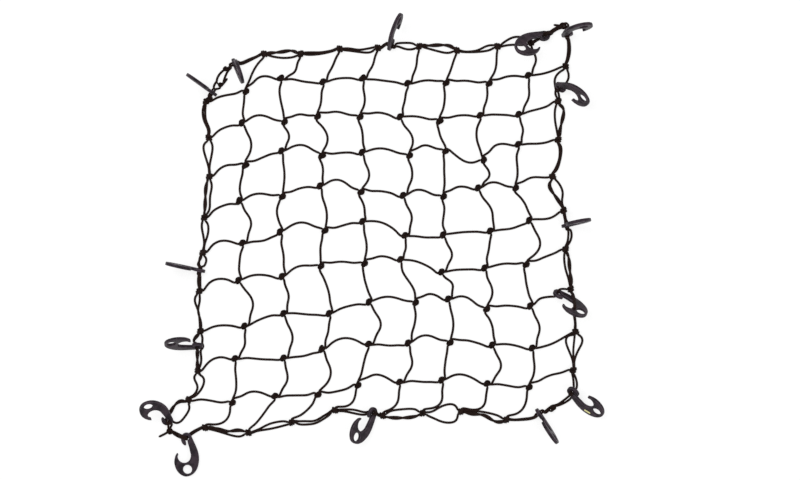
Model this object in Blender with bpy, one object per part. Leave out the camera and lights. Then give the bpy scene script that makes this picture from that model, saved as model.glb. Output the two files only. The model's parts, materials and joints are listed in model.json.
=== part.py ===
"""Elastic cargo net: nine crossways and eight lengthways cords knotted together, a doubled
rim cord round them, and fifteen moulded hooks threaded on the rim.

The net lies loose on the surface z = 0, face up. X runs to the right, Y towards the top edge.
Sizes in the tables are in millimetres; everything that is built is in metres.
"""
import math

import bmesh
import bpy
from mathutils import Matrix, Vector

MM = 0.001
UP = Vector((0, 0, 1))

# ---- cord -------------------------------------------------------------------------------
CORD = 3.8                    # diameter of the elastic cord
CORD_HALF = CORD / 2
GAP = 0.3                     # clearance between touching solids

# ---- knots: one cord carries the lower half of the lump, the other the upper half --------
LUMP_HALF_WIDTH = 5.8
LUMP_HALF_LENGTH = 4.5
LUMP_SPLIT = 5.5              # top of the lower half
LUMP_TOP = 11.4
UPPER_FLOOR = LUMP_SPLIT + GAP
PORT = 7.3                    # where a cord leaves the lump, from its middle
BORDER_PORT = 8.6             # the same at the rim, which is wider

# ---- doubled rim cord --------------------------------------------------------------------
RIM_HALF_WIDTH = 3.8
RIM_LUMP_HALF_WIDTH = 6.4
RIM_LUMP_HALF_LENGTH = 5.0
RIM_PORT = 7.6

# ---- where the spans between knots are sampled -------------------------------------------
SPAN_STOPS = (0.2, 0.45, 0.78)
TAUT_STOPS = (0.2, 0.78)      # enough where a span hardly bows
TAUT_BOW = 8.0
BOW_GAIN = 4.7                # height of the bow curve below: its peak is 0.87 of the bow stated
BOW_POWER = 1.5

# ---- the net as it lies: a row for each weft, top to bottom -------------------------------
# columns: left end, warps 1 to 8, right end
WEFT_X = (
    (-334, -255, -185, -101, -21, 68, 145, 231, 309, 384),
    (-329, -263, -178, -112, -27, 53, 132, 213, 290, 369),
    (-328, -256, -184, -103, -23, 72, 144, 220, 289, 369),
    (-338, -268, -182, -107, -25, 59, 140, 209, 284, 358),
    (-341, -262, -187, -97, -22, 63, 139, 233, 311, 380),
    (-348, -270, -183, -105, -18, 54, 136, 222, 305, 384),
    (-346, -258, -180, -89, -9, 84, 149, 226, 313, 394),
    (-351, -277, -180, -103, -10, 69, 153, 237, 317, 404),
    (-370, -282, -197, -111, -31, 52, 136, 227, 311, 399),
)
WEFT_Y = (
    (287, 307, 333, 326, 333, 323, 324, 323, 339, 357),
    (214, 244, 246, 257, 256, 256, 248, 259, 261, 287),
    (137, 160, 188, 179, 185, 179, 188, 170, 201, 210),
    (55, 88, 97, 118, 106, 99, 97, 114, 114, 137),
    (-15, 4, 26, 29, 47, 19, 20, 28, 49, 69),
    (-92, -71, -63, -42, -37, -29, -54, -46, -39, -8),
    (-172, -162, -137, -137, -114, -115, -108, -128, -122, -88),
    (-252, -227, -226, -208, -198, -196, -195, -200, -206, -173),
    (-310, -315, -302, -299, -280, -274, -270, -277, -284, -250),
)
# ends of warps 1 to 8 on the rim
WARP_TOP = ((-218, 382), (-146, 382), (-67, 392), (9, 394), (91, 397), (167, 389), (248, 397), (314, 404))
WARP_FOOT = ((-337, -365), (-250, -375), (-163, -354), (-77, -330), (18, -341), (98, -336), (175, -333),
             (266, -349))

# ---- slack: how far each span bows, early (nearer its start) and late (nearer its end) ----
# wefts run left to right and bow upwards; columns: the spans between the columns above
WEFT_BOW_EARLY = (
    (3, 12, 2, 5, 0, 2, 6, 6, -4),
    (6, 16, 12, 11, 10, 5, 6, 2, 2),
    (7, 1, 10, 3, 12, 19, 2, 15, -1),
    (6, 10, 6, 19, 5, 17, 13, 13, 12),
    (12, 0, 13, 1, 9, 3, 3, 0, 0),
    (12, 9, 9, 7, 12, 6, 5, 3, 1),
    (7, 1, 2, 5, 12, 16, 16, 8, 5),
    (6, 3, 0, 12, 1, 17, 11, 6, -6),
    (6, 13, 0, 0, 19, 5, 16, 3, 7),
)
WEFT_BOW_LATE = (
    (0, 8, -5, 0, 0, 5, 0, 2, 0),
    (0, 0, 0, 0, 0, 0, 1, -1, -4),
    (6, 0, 9, 0, 0, 0, -14, 6, -3),
    (0, 2, 1, 0, 1, -3, 1, 0, 1),
    (5, -9, 8, 0, 2, -7, 0, -7, -8),
    (4, 0, 4, 0, 0, 0, -3, 4, 0),
    (1, 3, -4, -1, 0, 0, -2, -2, -4),
    (9, -5, -6, 8, -6, 0, -5, -1, 0),
    (-4, 6, 0, -3, 2, -7, 0, -3, 2),
)
# warps run from the bottom rim upwards and bow to the right; columns: bottom rim to weft 9,
# 9 to 8, 8 to 7, and so on up to weft 1 to top rim
WARP_BOW_EARLY = (
    (8, 5, 13, 17, 1, 18, -1, 9, 0, -2),
    (1, 13, 17, 11, 7, 3, 3, 11, 1, 15),
    (2, 15, 4, 9, 0, 9, 7, 15, 4, 4),
    (11, 0, 20, 5, 7, 9, 17, 4, 9, 8),
    (12, 13, 4, 12, 8, 16, 11, 16, 4, 8),
    (16, 3, 7, 17, 18, -4, 4, 1, 5, 1),
    (18, 17, 7, 16, 2, 17, 10, -5, 6, 6),
    (12, 5, 14, 3, 19, 6, 8, 9, 10, 10),
)
WARP_BOW_LATE = (
    (11, 0, 0, 10, -3, 6, -4, 9, 0, -3),
    (1, 6, 4, 3, -1, -13, 3, 4, -5, 3),
    (3, 10, 2, -2, -6, -1, -2, 3, 0, 0),
    (6, -1, 8, -8, 0, -3, 1, 0, 0, 0),
    (5, 7, 2, -11, 1, 2, 3, 0, 0, 0),
    (9, -5, 2, 2, 6, 5, -5, -6, 0, 0),
    (11, 9, 0, 0, 1, -1, 12, -7, 0, 1),
    (4, 3, 6, -6, 11, 0, -6, 3, 4, 6),
)

# ---- corners of the rim: name, middle of the knot, end of its cut tail (None: no tail) ----
CORNER_HALF_GAP = 0.2         # the rim runs meet end to end under each corner knot
TAIL_LOW = CORD + GAP         # the stiff tails stand just clear of the rim
CORNERS = {
    "bottom_left": ((-407, -372), (-429, -383)),
    "top_left": ((-306, 320), (-289, 331)),
    "top_right": ((381, 438), (358, 446)),
    "bottom_right": ((357, -326), None),
}

# columns: along the tail from the middle of the knot, half width, top
CORNER_PROFILE = (
    (-6.0, 3.2, LUMP_TOP - 1.5),
    (-4.0, LUMP_HALF_WIDTH, LUMP_TOP),
    (4.0, LUMP_HALF_WIDTH, LUMP_TOP),
    (9.4, CORD_HALF, UPPER_FLOOR + CORD),
)

# ---- hooks: a flat moulded plate, drawn from its head (0, 0) towards the bend at -Y --------
HOOK_THICK = 6.6
EYE_RADIUS = 4.9
HEAD_RADIUS = 10.9
THROAT_CENTRE = (-5.1, -37.0)
THROAT_RADIUS = 13.0
PULL_HOLE_CENTRE = (1.4, -62.9)
PULL_HOLE_RADIUS = 9.0
HOLE_SIDES = 14
# outer edge of the shank and bend, from the head round to the point
SHANK_OUTER = ((18.5, -16.0), (22.6, -27.4), (24.6, -40.2), (23.6, -51.7), (20.0, -62.9), (13.0, -71.8),
               (5.5, -76.0), (-2.6, -77.2), (-12.1, -73.3), (-19.8, -65.0), (-23.6, -56.1), (-24.9, -47.8),
               (-23.9, -40.2), (-21.7, -33.8), (-18.5, -30.0))
POINT_INNER = ((-16.9, -32.5),)
SHANK_INNER = ((8.3, -34.0), (7.0, -27.4), (4.5, -16.0), (2.6, -9.6))
CURL_TIP = ((-2.0, -5.6), (-1.0, -9.0), (-1.6, -14.6), (-3.4, -14.6), (-7.4, -11.6), (-10.2, -6.4))

# ---- hooks as they lie: eye of the head, direction it points, roll onto its edge, rise ----
# columns: eye x, eye y, heading, roll, pitch (degrees), side of the opening (1 right, -1 left),
# height of its lowest point (raised where it lies on the rim)
HOOKS = (
    (-322, 304.5, 144, 88, 46, 1, 0),
    (-277.5, 362, -58.5, 105, 63, 1, 0),
    (34.5, 398.5, 73, -78, 38, 1, 0),
    (342, 418, -150, 24, 31, -1, 0),
    (386, 420, 25, -72, 57, 1, 0),
    (371.5, 315.5, -28, -57, 35, 1, 0),
    (386, 39, 18, 99, 62, 1, 0),
    (369, -97, -41, 50.5, 29, 1, 4.2),
    (396.5, -292, -38, 50, 1, -1, 0),
    (331, -336, -60, 81, 32, 1, 0),
    (-1.5, -334.5, -126, 41, 26, 1, 0),
    (-373.5, -385.5, -89.5, 0, -3.4, 1, 0),
    (-410.5, -350.8, 141, -22, 41, -1, 0),
    (-351, -202, 170, 59, 38, 1, 0),
    (-346.5, -50.5, 168, 92, 32, 1, 0),
)
THREADED_WEFT = 7             # one hook hangs on the end of a weft, not on the rim
THREADED_HOOK = 8
EYE_SLACK = 2.0               # that thin cord bears on the head's side of the eye
EYE_SPAN_BOW = 6.0
HEADING_SHARE = 0.35          # how much the cord keeps its own heading as it turns into an eye
EYE_RUN = HOOK_THICK / 2 + 3.2   # the cord runs straight this far from the middle of an eye
STEEP = 0.75                  # above this rise of its eye's axis, a hook counts as lying flat
RAMP = 13.0                   # length in which the rim drops from an eye to the floor
OVER_REACH = 15.0             # the rim clears a flat hook's head this far from its eye

# ---- the rim's route: what each side passes, from corner to corner, clockwise --------------
RIM_ROUTE = {
    "left": ("bottom_left", ["hook 13"] + ["weft left %d" % n for n in (9, 8)] + ["hook 14", "weft left 7",
             "weft left 6", "hook 15"] + ["weft left %d" % n for n in (5, 4, 3, 2, 1)] + ["hook 1"],
             "top_left"),
    "top": ("top_left", ["knot -295 352", "hook 2"] + ["warp top %d" % n for n in (1, 2, 3, 4)] + ["hook 3"]
            + ["warp top %d" % n for n in (5, 6, 7, 8)] + ["hook 4"], "top_right"),
    "right": ("top_right", ["hook 5", "weft right 1", "hook 6"]
              + ["weft right %d" % n for n in (2, 3, 4, 5)] + ["hook 7"]
              + ["weft right %d" % n for n in (6, 7, 8, 9)] + ["hook 9"], "bottom_right"),
    "bottom": ("bottom_right", ["hook 10"] + ["warp foot %d" % n for n in (8, 7, 6, 5)] + ["hook 11"]
               + ["warp foot %d" % n for n in (4, 3, 2, 1)] + ["hook 12"], "bottom_left"),
}

SHARP_DEGREES = 40
CORD_COLOUR = (0.012, 0.008, 0.007, 1.0)
HOOK_COLOUR = (0.045, 0.036, 0.044, 1.0)


def clear_scene():
    for item in list(bpy.data.objects):
        bpy.data.objects.remove(item, do_unlink=True)


def make_material(name, colour, roughness):
    material = bpy.data.materials.new(name)
    material.use_nodes = True
    shader = material.node_tree.nodes["Principled BSDF"]
    shader.inputs["Base Color"].default_value = colour
    shader.inputs["Roughness"].default_value = roughness
    shader.inputs["Metallic"].default_value = 0.0
    return material


def flat(point, height=0.0):
    """A plan point, in millimetres, at a height."""
    return Vector((point[0], point[1], height))


def level(vector):
    """The horizontal direction of a vector."""
    return Vector((vector.x, vector.y, 0)).normalized()


def right_of(direction):
    return Vector((direction.y, -direction.x, 0))


# ---- sections of a swept cord --------------------------------------------------------------
def section(point, direction, half_width, low, high):
    """A section that stands upright across a level direction, between two heights."""
    side = right_of(level(direction))
    centre = flat(point, (low + high) / 2)
    return centre, side, UP, half_width, (high - low) / 2


def sweep(name, sections, material):
    """One closed solid through four-cornered sections."""
    mesh = bmesh.new()
    rings = []
    for centre, side, up, half_width, half_height in sections:
        corners = ((-1, -1), (1, -1), (1, 1), (-1, 1))
        rings.append([mesh.verts.new((centre + side * half_width * a + up * half_height * b) * MM)
                      for a, b in corners])
    for ring, following in zip(rings, rings[1:]):
        for k in range(4):
            n = (k + 1) % 4
            mesh.faces.new((ring[k], following[k], following[n], ring[n]))
    mesh.faces.new(rings[0])
    mesh.faces.new(reversed(rings[-1]))
    bmesh.ops.recalc_face_normals(mesh, faces=mesh.faces)
    bmesh.ops.triangulate(mesh, faces=mesh.faces)
    return add_object(name, mesh, material)


def add_object(name, mesh, material, matrix=None):
    data = bpy.data.meshes.new(name)
    mesh.to_mesh(data)
    mesh.free()
    data.shade_smooth()
    data.set_sharp_from_angle(angle=math.radians(SHARP_DEGREES))
    data.materials.append(material)
    item = bpy.data.objects.new(name, data)
    item.matrix_world = matrix or Matrix.Identity(4)
    bpy.context.scene.collection.objects.link(item)
    return item


# ---- wefts and warps -----------------------------------------------------------------------
def bow(t, early, late):
    return BOW_GAIN * (early * t * (1 - t) ** BOW_POWER + late * (1 - t) * t ** BOW_POWER)


def span_point(start, end, early, late, side, t):
    """A point along a slack span; side is +1 to bow left of its direction, -1 right."""
    along = end - start
    out = -right_of(level(along)) * side
    return start + along * t + out * bow(t, early, late)


def knot_axes(knots):
    """The direction in which the cord crosses each of its knots."""
    axes = []
    for k in range(len(knots)):
        before = knots[max(k - 1, 0)]
        after = knots[min(k + 1, len(knots) - 1)]
        axes.append(level(after - before))
    return axes


def cord_sections(knots, early, late, side, upper, eye_stop=None):
    """Sections of a weft or warp. upper: it carries the upper half of the inner knots."""
    axes = knot_axes(knots)
    last = len(knots) - 1
    base = UPPER_FLOOR if upper else 0.0
    top = LUMP_TOP if upper else LUMP_SPLIT
    sections = []
    for k, (knot, axis) in enumerate(zip(knots, axes)):
        at_rim = k in (0, last)
        low, high = (UPPER_FLOOR, LUMP_TOP) if at_rim else (base, top)
        port = BORDER_PORT if at_rim else PORT
        if k > 0:
            sections.append(section(knot - axis * port, axis, CORD_HALF, low, low + CORD))
        for reach in (-LUMP_HALF_LENGTH, LUMP_HALF_LENGTH):
            sections.append(section(knot + axis * reach, axis, LUMP_HALF_WIDTH, low, high))
        if k == last:
            break
        sections.append(section(knot + axis * port, axis, CORD_HALF, low, low + CORD))
        next_port = BORDER_PORT if k + 1 == last else PORT
        start = knot + axis * port
        end = knots[k + 1] - axes[k + 1] * next_port
        if eye_stop and k + 1 == last:
            sections += spans_to_eye(start, end, eye_stop)
            continue
        taut = abs(early[k]) + abs(late[k]) < TAUT_BOW
        for t in TAUT_STOPS if taut else SPAN_STOPS:
            here = span_point(start, end, early[k], late[k], side, t)
            ahead = span_point(start, end, early[k], late[k], side, t + 0.02)
            sections.append(section(here, ahead - here, CORD_HALF, 0.0, CORD))
    return sections


def spans_to_eye(start, end, eye):
    """The last span of the weft that a hook is threaded on: floor, then up through its eye."""
    centre, axis, pull = eye
    centre = centre + pull * EYE_SLACK
    axis = axis if axis.dot(end - start) > 0 else -axis
    entry = centre - axis * EYE_RUN
    sections = []
    for t in (0.3, 0.65):
        lift = Vector((0, EYE_SPAN_BOW * (1 - t), 0))
        sections.append(section(start.lerp(flat(entry), t) + lift, entry - start, CORD_HALF, 0.0, CORD))
    return sections + eye_sections(centre, axis, end - start, CORD_HALF)


def eye_sections(centre, axis, heading, half_width):
    """Straight through the eye of a hook along its axis."""
    lean = level(heading) * HEADING_SHARE + Vector((axis.x, axis.y, 0))
    side = right_of(lean.normalized())
    up = side.cross(axis).normalized()
    side = axis.cross(up).normalized()
    return [(centre + axis * reach, side, up, half_width, CORD_HALF) for reach in (-EYE_RUN, EYE_RUN)]


# ---- hooks ---------------------------------------------------------------------------------
def arc(centre, radius, start, end, steps):
    """Points on an arc, angles in degrees, both ends included."""
    points = []
    for k in range(steps + 1):
        angle = math.radians(start + (end - start) * k / steps)
        points.append((centre[0] + radius * math.cos(angle), centre[1] + radius * math.sin(angle)))
    return points


def hook_outline():
    """The edge of the hook, once round."""
    head = arc((0, 0), HEAD_RADIUS, 180, 10, 9)
    throat = arc(THROAT_CENTRE, THROAT_RADIUS, 180, 345, 9)
    eye = arc((0, 0), EYE_RADIUS, -58, 240, 11)
    return head + list(SHANK_OUTER) + list(POINT_INNER) + throat + list(SHANK_INNER) + eye + list(CURL_TIP)


def hook_matrix(x, y, heading, roll, pitch, side, lift):
    """Lays a hook down: heading in plan, rolled onto its shank's edge, point end raised."""
    angle = math.radians(heading)
    roll = math.radians(roll)
    pitch = math.radians(pitch)
    ahead = Vector((math.cos(angle), math.sin(angle), 0))
    across = right_of(ahead) * side
    towards_bend = ahead * math.cos(pitch) + UP * math.sin(pitch)
    lifted = UP * math.cos(pitch) - ahead * math.sin(pitch)
    towards_opening = across * math.cos(roll) + lifted * math.sin(roll)
    turn = Matrix((-towards_opening, -towards_bend, towards_opening.cross(towards_bend))).transposed()
    lowest = math.inf
    for px, py in hook_outline():
        for half in (-HOOK_THICK / 2, HOOK_THICK / 2):
            lowest = min(lowest, (turn @ Vector((px, py, half))).z)
    return Matrix.Translation(Vector((x, y, lift - lowest))) @ turn.to_4x4()


def hook_poses():
    return [hook_matrix(*row) for row in HOOKS]


def axis_of(matrix, column):
    return matrix.col[column].to_3d().normalized()


def build_hook(name, matrix, material):
    mesh = bmesh.new()
    underside = -HOOK_THICK / 2
    loops = [hook_outline(), arc(PULL_HOLE_CENTRE, PULL_HOLE_RADIUS, 0, 360, HOLE_SIDES)[1:]]
    edges = []
    for loop in loops:
        points = [mesh.verts.new((x * MM, y * MM, underside * MM)) for x, y in loop]
        edges += [mesh.edges.new((points[k - 1], points[k])) for k in range(len(points))]
    bmesh.ops.triangle_fill(mesh, use_beauty=True, use_dissolve=False, edges=edges)
    grown = bmesh.ops.extrude_face_region(mesh, geom=list(mesh.faces))
    moved = [item for item in grown["geom"] if isinstance(item, bmesh.types.BMVert)]
    bmesh.ops.translate(mesh, verts=moved, vec=(0, 0, HOOK_THICK * MM))
    bmesh.ops.recalc_face_normals(mesh, faces=mesh.faces)
    placed = matrix.copy()
    placed.translation = matrix.translation * MM
    return add_object(name, mesh, material, placed)


# ---- rim -----------------------------------------------------------------------------------
def rim_stop(word, poses):
    """What a word of the route stands for: (kind, place, axis)."""
    parts = word.split()
    if parts[0] == "hook":
        pose = poses[int(parts[1]) - 1]
        return "eye", pose.translation.copy(), axis_of(pose, 2)
    if parts[0] == "knot":
        return "knot", flat((float(parts[1]), float(parts[2]))), None
    row = int(parts[2]) - 1
    if parts[0] == "weft":
        column = 0 if parts[1] == "left" else -1
        return "knot", flat((WEFT_X[row][column], WEFT_Y[row][column])), None
    ends = WARP_TOP if parts[1] == "top" else WARP_FOOT
    return "knot", flat(ends[row]), None


def rim_sections(stops, start_axis, end_axis):
    """Sections of one side of the rim, which ends in the middle of its two corner knots."""
    places = [place for kind, place, axis in stops]
    last = len(stops) - 1
    sections = []
    for k, (kind, place, axis) in enumerate(stops):
        before = places[max(k - 1, 0)]
        after = places[min(k + 1, last)]
        heading = level(after - before)
        if kind == "eye":
            flat_hook = abs(axis.z) > STEEP
            forward = axis.z > 0 if flat_hook else axis.dot(heading) > 0
            axis = axis if forward else -axis
            sections += eye_sections(place, axis, heading, RIM_HALF_WIDTH)
            if flat_hook:
                ahead = level(after - place)
                top_there = HOOK_THICK / 2 + GAP - axis.dot(ahead) * OVER_REACH
                low = place.z + top_there / axis.z
                sections.append(section(place + ahead * OVER_REACH, ahead, RIM_HALF_WIDTH, low, low + CORD))
        else:
            sections += rim_knot(place, heading, k, last, start_axis, end_axis)
        if k < last:
            sections += rim_run(stops[k], stops[k + 1], sections[-1][0])
    return sections


def rim_knot(place, heading, k, last, start_axis, end_axis):
    heading = start_axis if k == 0 else end_axis if k == last else heading
    reaches = [-RIM_PORT, -RIM_LUMP_HALF_LENGTH, RIM_LUMP_HALF_LENGTH, RIM_PORT]
    if k == 0:
        reaches = [CORNER_HALF_GAP] + reaches[2:]
    if k == last:
        reaches = reaches[:2] + [-CORNER_HALF_GAP]
    sections = []
    for reach in reaches:
        in_lump = abs(reach) <= RIM_LUMP_HALF_LENGTH
        width = RIM_LUMP_HALF_WIDTH if in_lump else RIM_HALF_WIDTH
        high = LUMP_SPLIT if in_lump else CORD
        sections.append(section(place + heading * reach, heading, width, 0.0, high))
    return sections


def rim_run(this, following, leave):
    """Sections between two stops: down to the floor after an eye, along it, up to the next."""
    arrive = following[1] - level(following[1] - leave) * RIM_PORT
    if following[0] == "eye":
        arrive = following[1] - level(following[1] - leave) * EYE_RUN
    along = flat(arrive) - flat(leave)
    length = along.length
    direction = level(along)
    reaches = []
    if this[0] == "eye" and length > 2 * RAMP:
        reaches.append(RAMP)
    if following[0] == "eye" and length > 2 * RAMP:
        reaches.append(length - RAMP)
    return [section(flat(leave) + direction * reach, direction, RIM_HALF_WIDTH, 0.0, CORD)
            for reach in reaches]


def corner_axis(name):
    """The level direction in which the rim passes a corner knot."""
    here = flat(CORNERS[name][0])
    poses = hook_poses()
    neighbours = []
    for start, words, end in RIM_ROUTE.values():
        if start == name:
            neighbours.append(rim_stop(words[0], poses)[1])
        if end == name:
            neighbours.insert(0, rim_stop(words[-1], poses)[1])
    return level(level(neighbours[1] - here) + level(here - neighbours[0]))


def build_rim(material):
    poses = hook_poses()
    for side, (start, words, end) in RIM_ROUTE.items():
        stops = [("knot", flat(CORNERS[start][0]), None)]
        stops += [rim_stop(word, poses) for word in words]
        stops.append(("knot", flat(CORNERS[end][0]), None))
        sweep("rim_" + side, rim_sections(stops, corner_axis(start), corner_axis(end)), material)


def build_corner_knots(material):
    """The upper half of each corner knot, with the short cut tail of the cord."""
    for name, (middle, tail) in CORNERS.items():
        middle = flat(middle)
        direction = level(flat(tail) - middle) if tail else corner_axis(name)
        sections = [section(middle + direction * reach, direction, half_width, UPPER_FLOOR, high)
                    for reach, half_width, high in CORNER_PROFILE]
        if tail:
            sections.append(section(flat(tail), direction, CORD_HALF, TAIL_LOW, TAIL_LOW + CORD))
        sweep("knot_" + name, sections, material)


def build_cords(material):
    poses = hook_poses()
    threaded = poses[THREADED_HOOK - 1]
    for row in range(9):
        knots = [flat(point) for point in zip(WEFT_X[row], WEFT_Y[row])]
        eye = None
        if row == THREADED_WEFT - 1:
            eye = threaded.translation, axis_of(threaded, 2), axis_of(threaded, 1)
        sections = cord_sections(knots, WEFT_BOW_EARLY[row], WEFT_BOW_LATE[row], 1, False, eye)
        sweep("weft_%d" % (row + 1), sections, material)
    for column in range(8):
        knots = [flat(WARP_FOOT[column])]
        knots += [flat((WEFT_X[row][column + 1], WEFT_Y[row][column + 1])) for row in range(8, -1, -1)]
        knots.append(flat(WARP_TOP[column]))
        sections = cord_sections(knots, WARP_BOW_EARLY[column], WARP_BOW_LATE[column], -1, True)
        sweep("warp_%d" % (column + 1), sections, material)


def main():
    clear_scene()
    cord = make_material("elastic cord", CORD_COLOUR, 0.75)
    nylon = make_material("hook nylon", HOOK_COLOUR, 0.45)
    build_cords(cord)
    build_rim(cord)
    build_corner_knots(cord)
    for number, matrix in enumerate(hook_poses(), start=1):
        build_hook("hook_%02d" % number, matrix, nylon)


main()
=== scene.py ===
# %% [markdown]
# # An elastic cargo net, knotted from one cord
#
# A cargo net of this kind holds luggage down on a rack. Nine cords run across it, eight run
# along it, and every crossing is tied: both cords go round together in one overhand knot. The
# ends of all seventeen cords are hitched to a doubled rim cord, and fifteen moulded hooks slide
# on that rim. Here the net lies loose on the floor, as it falls when it is thrown down.
#
# Nothing here is held by a joint, so the whole net rides on one body. The solids that the
# physics uses are simple bars with four corners; each cell below replaces some of them with
# the real thing in the same place: braided cord, tightened knots and rounded nylon hooks.

# %% Load the frame
import json
import math
import random

import bmesh
import bpy
import numpy as np
from mathutils import Matrix, Vector

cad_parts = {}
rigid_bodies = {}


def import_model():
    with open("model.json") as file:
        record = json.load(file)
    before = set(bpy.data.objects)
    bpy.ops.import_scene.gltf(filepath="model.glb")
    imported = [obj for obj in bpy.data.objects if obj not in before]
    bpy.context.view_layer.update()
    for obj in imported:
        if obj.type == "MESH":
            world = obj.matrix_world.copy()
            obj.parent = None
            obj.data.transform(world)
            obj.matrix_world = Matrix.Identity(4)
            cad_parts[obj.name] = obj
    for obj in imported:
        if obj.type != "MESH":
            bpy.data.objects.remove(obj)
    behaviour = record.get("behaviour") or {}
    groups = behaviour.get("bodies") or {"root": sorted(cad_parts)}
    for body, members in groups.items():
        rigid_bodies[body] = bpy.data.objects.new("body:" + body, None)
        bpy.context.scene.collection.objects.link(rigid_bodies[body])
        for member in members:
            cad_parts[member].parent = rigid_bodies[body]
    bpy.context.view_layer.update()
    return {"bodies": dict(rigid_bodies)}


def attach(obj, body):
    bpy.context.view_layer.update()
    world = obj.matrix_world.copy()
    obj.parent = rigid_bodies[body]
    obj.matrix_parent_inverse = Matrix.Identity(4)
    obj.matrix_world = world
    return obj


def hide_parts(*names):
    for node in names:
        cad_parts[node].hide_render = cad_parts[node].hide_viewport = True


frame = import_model()
BODY = list(frame["bodies"])[0]
MM = 0.001

# %% [markdown]
# ## Where the cords lie
#
# A slack net is hard to invent, because every span bows a little differently. So the net starts
# as a table: one row for each crossways cord (a weft), with the place of each of its knots, and
# two tables that say how far each span bows early and late on its way. Sizes are in millimetres
# and are turned into metres only when a mesh is made.

# %% The knots of the net
# columns: left end on the rim, crossings with lengthways cords 1 to 8, right end on the rim
WEFT_X = (
    (-334, -255, -185, -101, -21, 68, 145, 231, 309, 384),
    (-329, -263, -178, -112, -27, 53, 132, 213, 290, 369),
    (-328, -256, -184, -103, -23, 72, 144, 220, 289, 369),
    (-338, -268, -182, -107, -25, 59, 140, 209, 284, 358),
    (-341, -262, -187, -97, -22, 63, 139, 233, 311, 380),
    (-348, -270, -183, -105, -18, 54, 136, 222, 305, 384),
    (-346, -258, -180, -89, -9, 84, 149, 226, 313, 394),
    (-351, -277, -180, -103, -10, 69, 153, 237, 317, 404),
    (-370, -282, -197, -111, -31, 52, 136, 227, 311, 399),
)
WEFT_Y = (
    (287, 307, 333, 326, 333, 323, 324, 323, 339, 357),
    (214, 244, 246, 257, 256, 256, 248, 259, 261, 287),
    (137, 160, 188, 179, 185, 179, 188, 170, 201, 210),
    (55, 88, 97, 118, 106, 99, 97, 114, 114, 137),
    (-15, 4, 26, 29, 47, 19, 20, 28, 49, 69),
    (-92, -71, -63, -42, -37, -29, -54, -46, -39, -8),
    (-172, -162, -137, -137, -114, -115, -108, -128, -122, -88),
    (-252, -227, -226, -208, -198, -196, -195, -200, -206, -173),
    (-310, -315, -302, -299, -280, -274, -270, -277, -284, -250),
)
# ends of the lengthways cords (warps) 1 to 8, on the top and the bottom of the rim
WARP_TOP = ((-218, 382), (-146, 382), (-67, 392), (9, 394), (91, 397), (167, 389), (248, 397), (314, 404))
WARP_FOOT = ((-337, -365), (-250, -375), (-163, -354), (-77, -330), (18, -341), (98, -336), (175, -333),
             (266, -349))
WEFTS, WARPS = len(WEFT_X), len(WARP_TOP)
print(WEFTS, "wefts and", WARPS, "warps,", WEFTS * WARPS, "crossings")

# %% The slack of each span
# wefts run left to right and bow upwards; one column for each span
WEFT_BOW_EARLY = (
    (3, 12, 2, 5, 0, 2, 6, 6, -4),
    (6, 16, 12, 11, 10, 5, 6, 2, 2),
    (7, 1, 10, 3, 12, 19, 2, 15, -1),
    (6, 10, 6, 19, 5, 17, 13, 13, 12),
    (12, 0, 13, 1, 9, 3, 3, 0, 0),
    (12, 9, 9, 7, 12, 6, 5, 3, 1),
    (7, 1, 2, 5, 12, 16, 16, 8, 5),
    (6, 3, 0, 12, 1, 17, 11, 6, -6),
    (6, 13, 0, 0, 19, 5, 16, 3, 7),
)
WEFT_BOW_LATE = (
    (0, 8, -5, 0, 0, 5, 0, 2, 0),
    (0, 0, 0, 0, 0, 0, 1, -1, -4),
    (6, 0, 9, 0, 0, 0, -14, 6, -3),
    (0, 2, 1, 0, 1, -3, 1, 0, 1),
    (5, -9, 8, 0, 2, -7, 0, -7, -8),
    (4, 0, 4, 0, 0, 0, -3, 4, 0),
    (1, 3, -4, -1, 0, 0, -2, -2, -4),
    (9, -5, -6, 8, -6, 0, -5, -1, 0),
    (-4, 6, 0, -3, 2, -7, 0, -3, 2),
)
# warps run from the bottom rim upwards and bow to the right; columns: rim to weft 9, 9 to 8, ...
WARP_BOW_EARLY = (
    (8, 5, 13, 17, 1, 18, -1, 9, 0, -2),
    (1, 13, 17, 11, 7, 3, 3, 11, 1, 15),
    (2, 15, 4, 9, 0, 9, 7, 15, 4, 4),
    (11, 0, 20, 5, 7, 9, 17, 4, 9, 8),
    (12, 13, 4, 12, 8, 16, 11, 16, 4, 8),
    (16, 3, 7, 17, 18, -4, 4, 1, 5, 1),
    (18, 17, 7, 16, 2, 17, 10, -5, 6, 6),
    (12, 5, 14, 3, 19, 6, 8, 9, 10, 10),
)
WARP_BOW_LATE = (
    (11, 0, 0, 10, -3, 6, -4, 9, 0, -3),
    (1, 6, 4, 3, -1, -13, 3, 4, -5, 3),
    (3, 10, 2, -2, -6, -1, -2, 3, 0, 0),
    (6, -1, 8, -8, 0, -3, 1, 0, 0, 0),
    (5, 7, 2, -11, 1, 2, 3, 0, 0, 0),
    (9, -5, 2, 2, 6, 5, -5, -6, 0, 0),
    (11, 9, 0, 0, 1, -1, 12, -7, 0, 1),
    (4, 3, 6, -6, 11, 0, -6, 3, 4, 6),
)
BOW_GAIN, BOW_POWER = 4.7, 1.5           # turn a table's number into the height and shape of a bow
KNOT_PORT, RIM_KNOT_PORT = 7.3, 8.6      # where a span leaves a knot, from its middle
SPAN_STOPS = (0.2, 0.35, 0.5, 0.65, 0.8)  # the shares of a span at which it has points
CORD_HALF = 2.4                          # half the thickness of the slack cord


def unit(vector):
    return vector / np.linalg.norm(vector)


def turned_left(direction):
    return np.array([-direction[1], direction[0]])


def headings(knots):
    """The level direction in which a cord crosses each of its knots."""
    last = len(knots) - 1
    return [unit(knots[min(k + 1, last)] - knots[max(k - 1, 0)]) for k in range(last + 1)]


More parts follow.
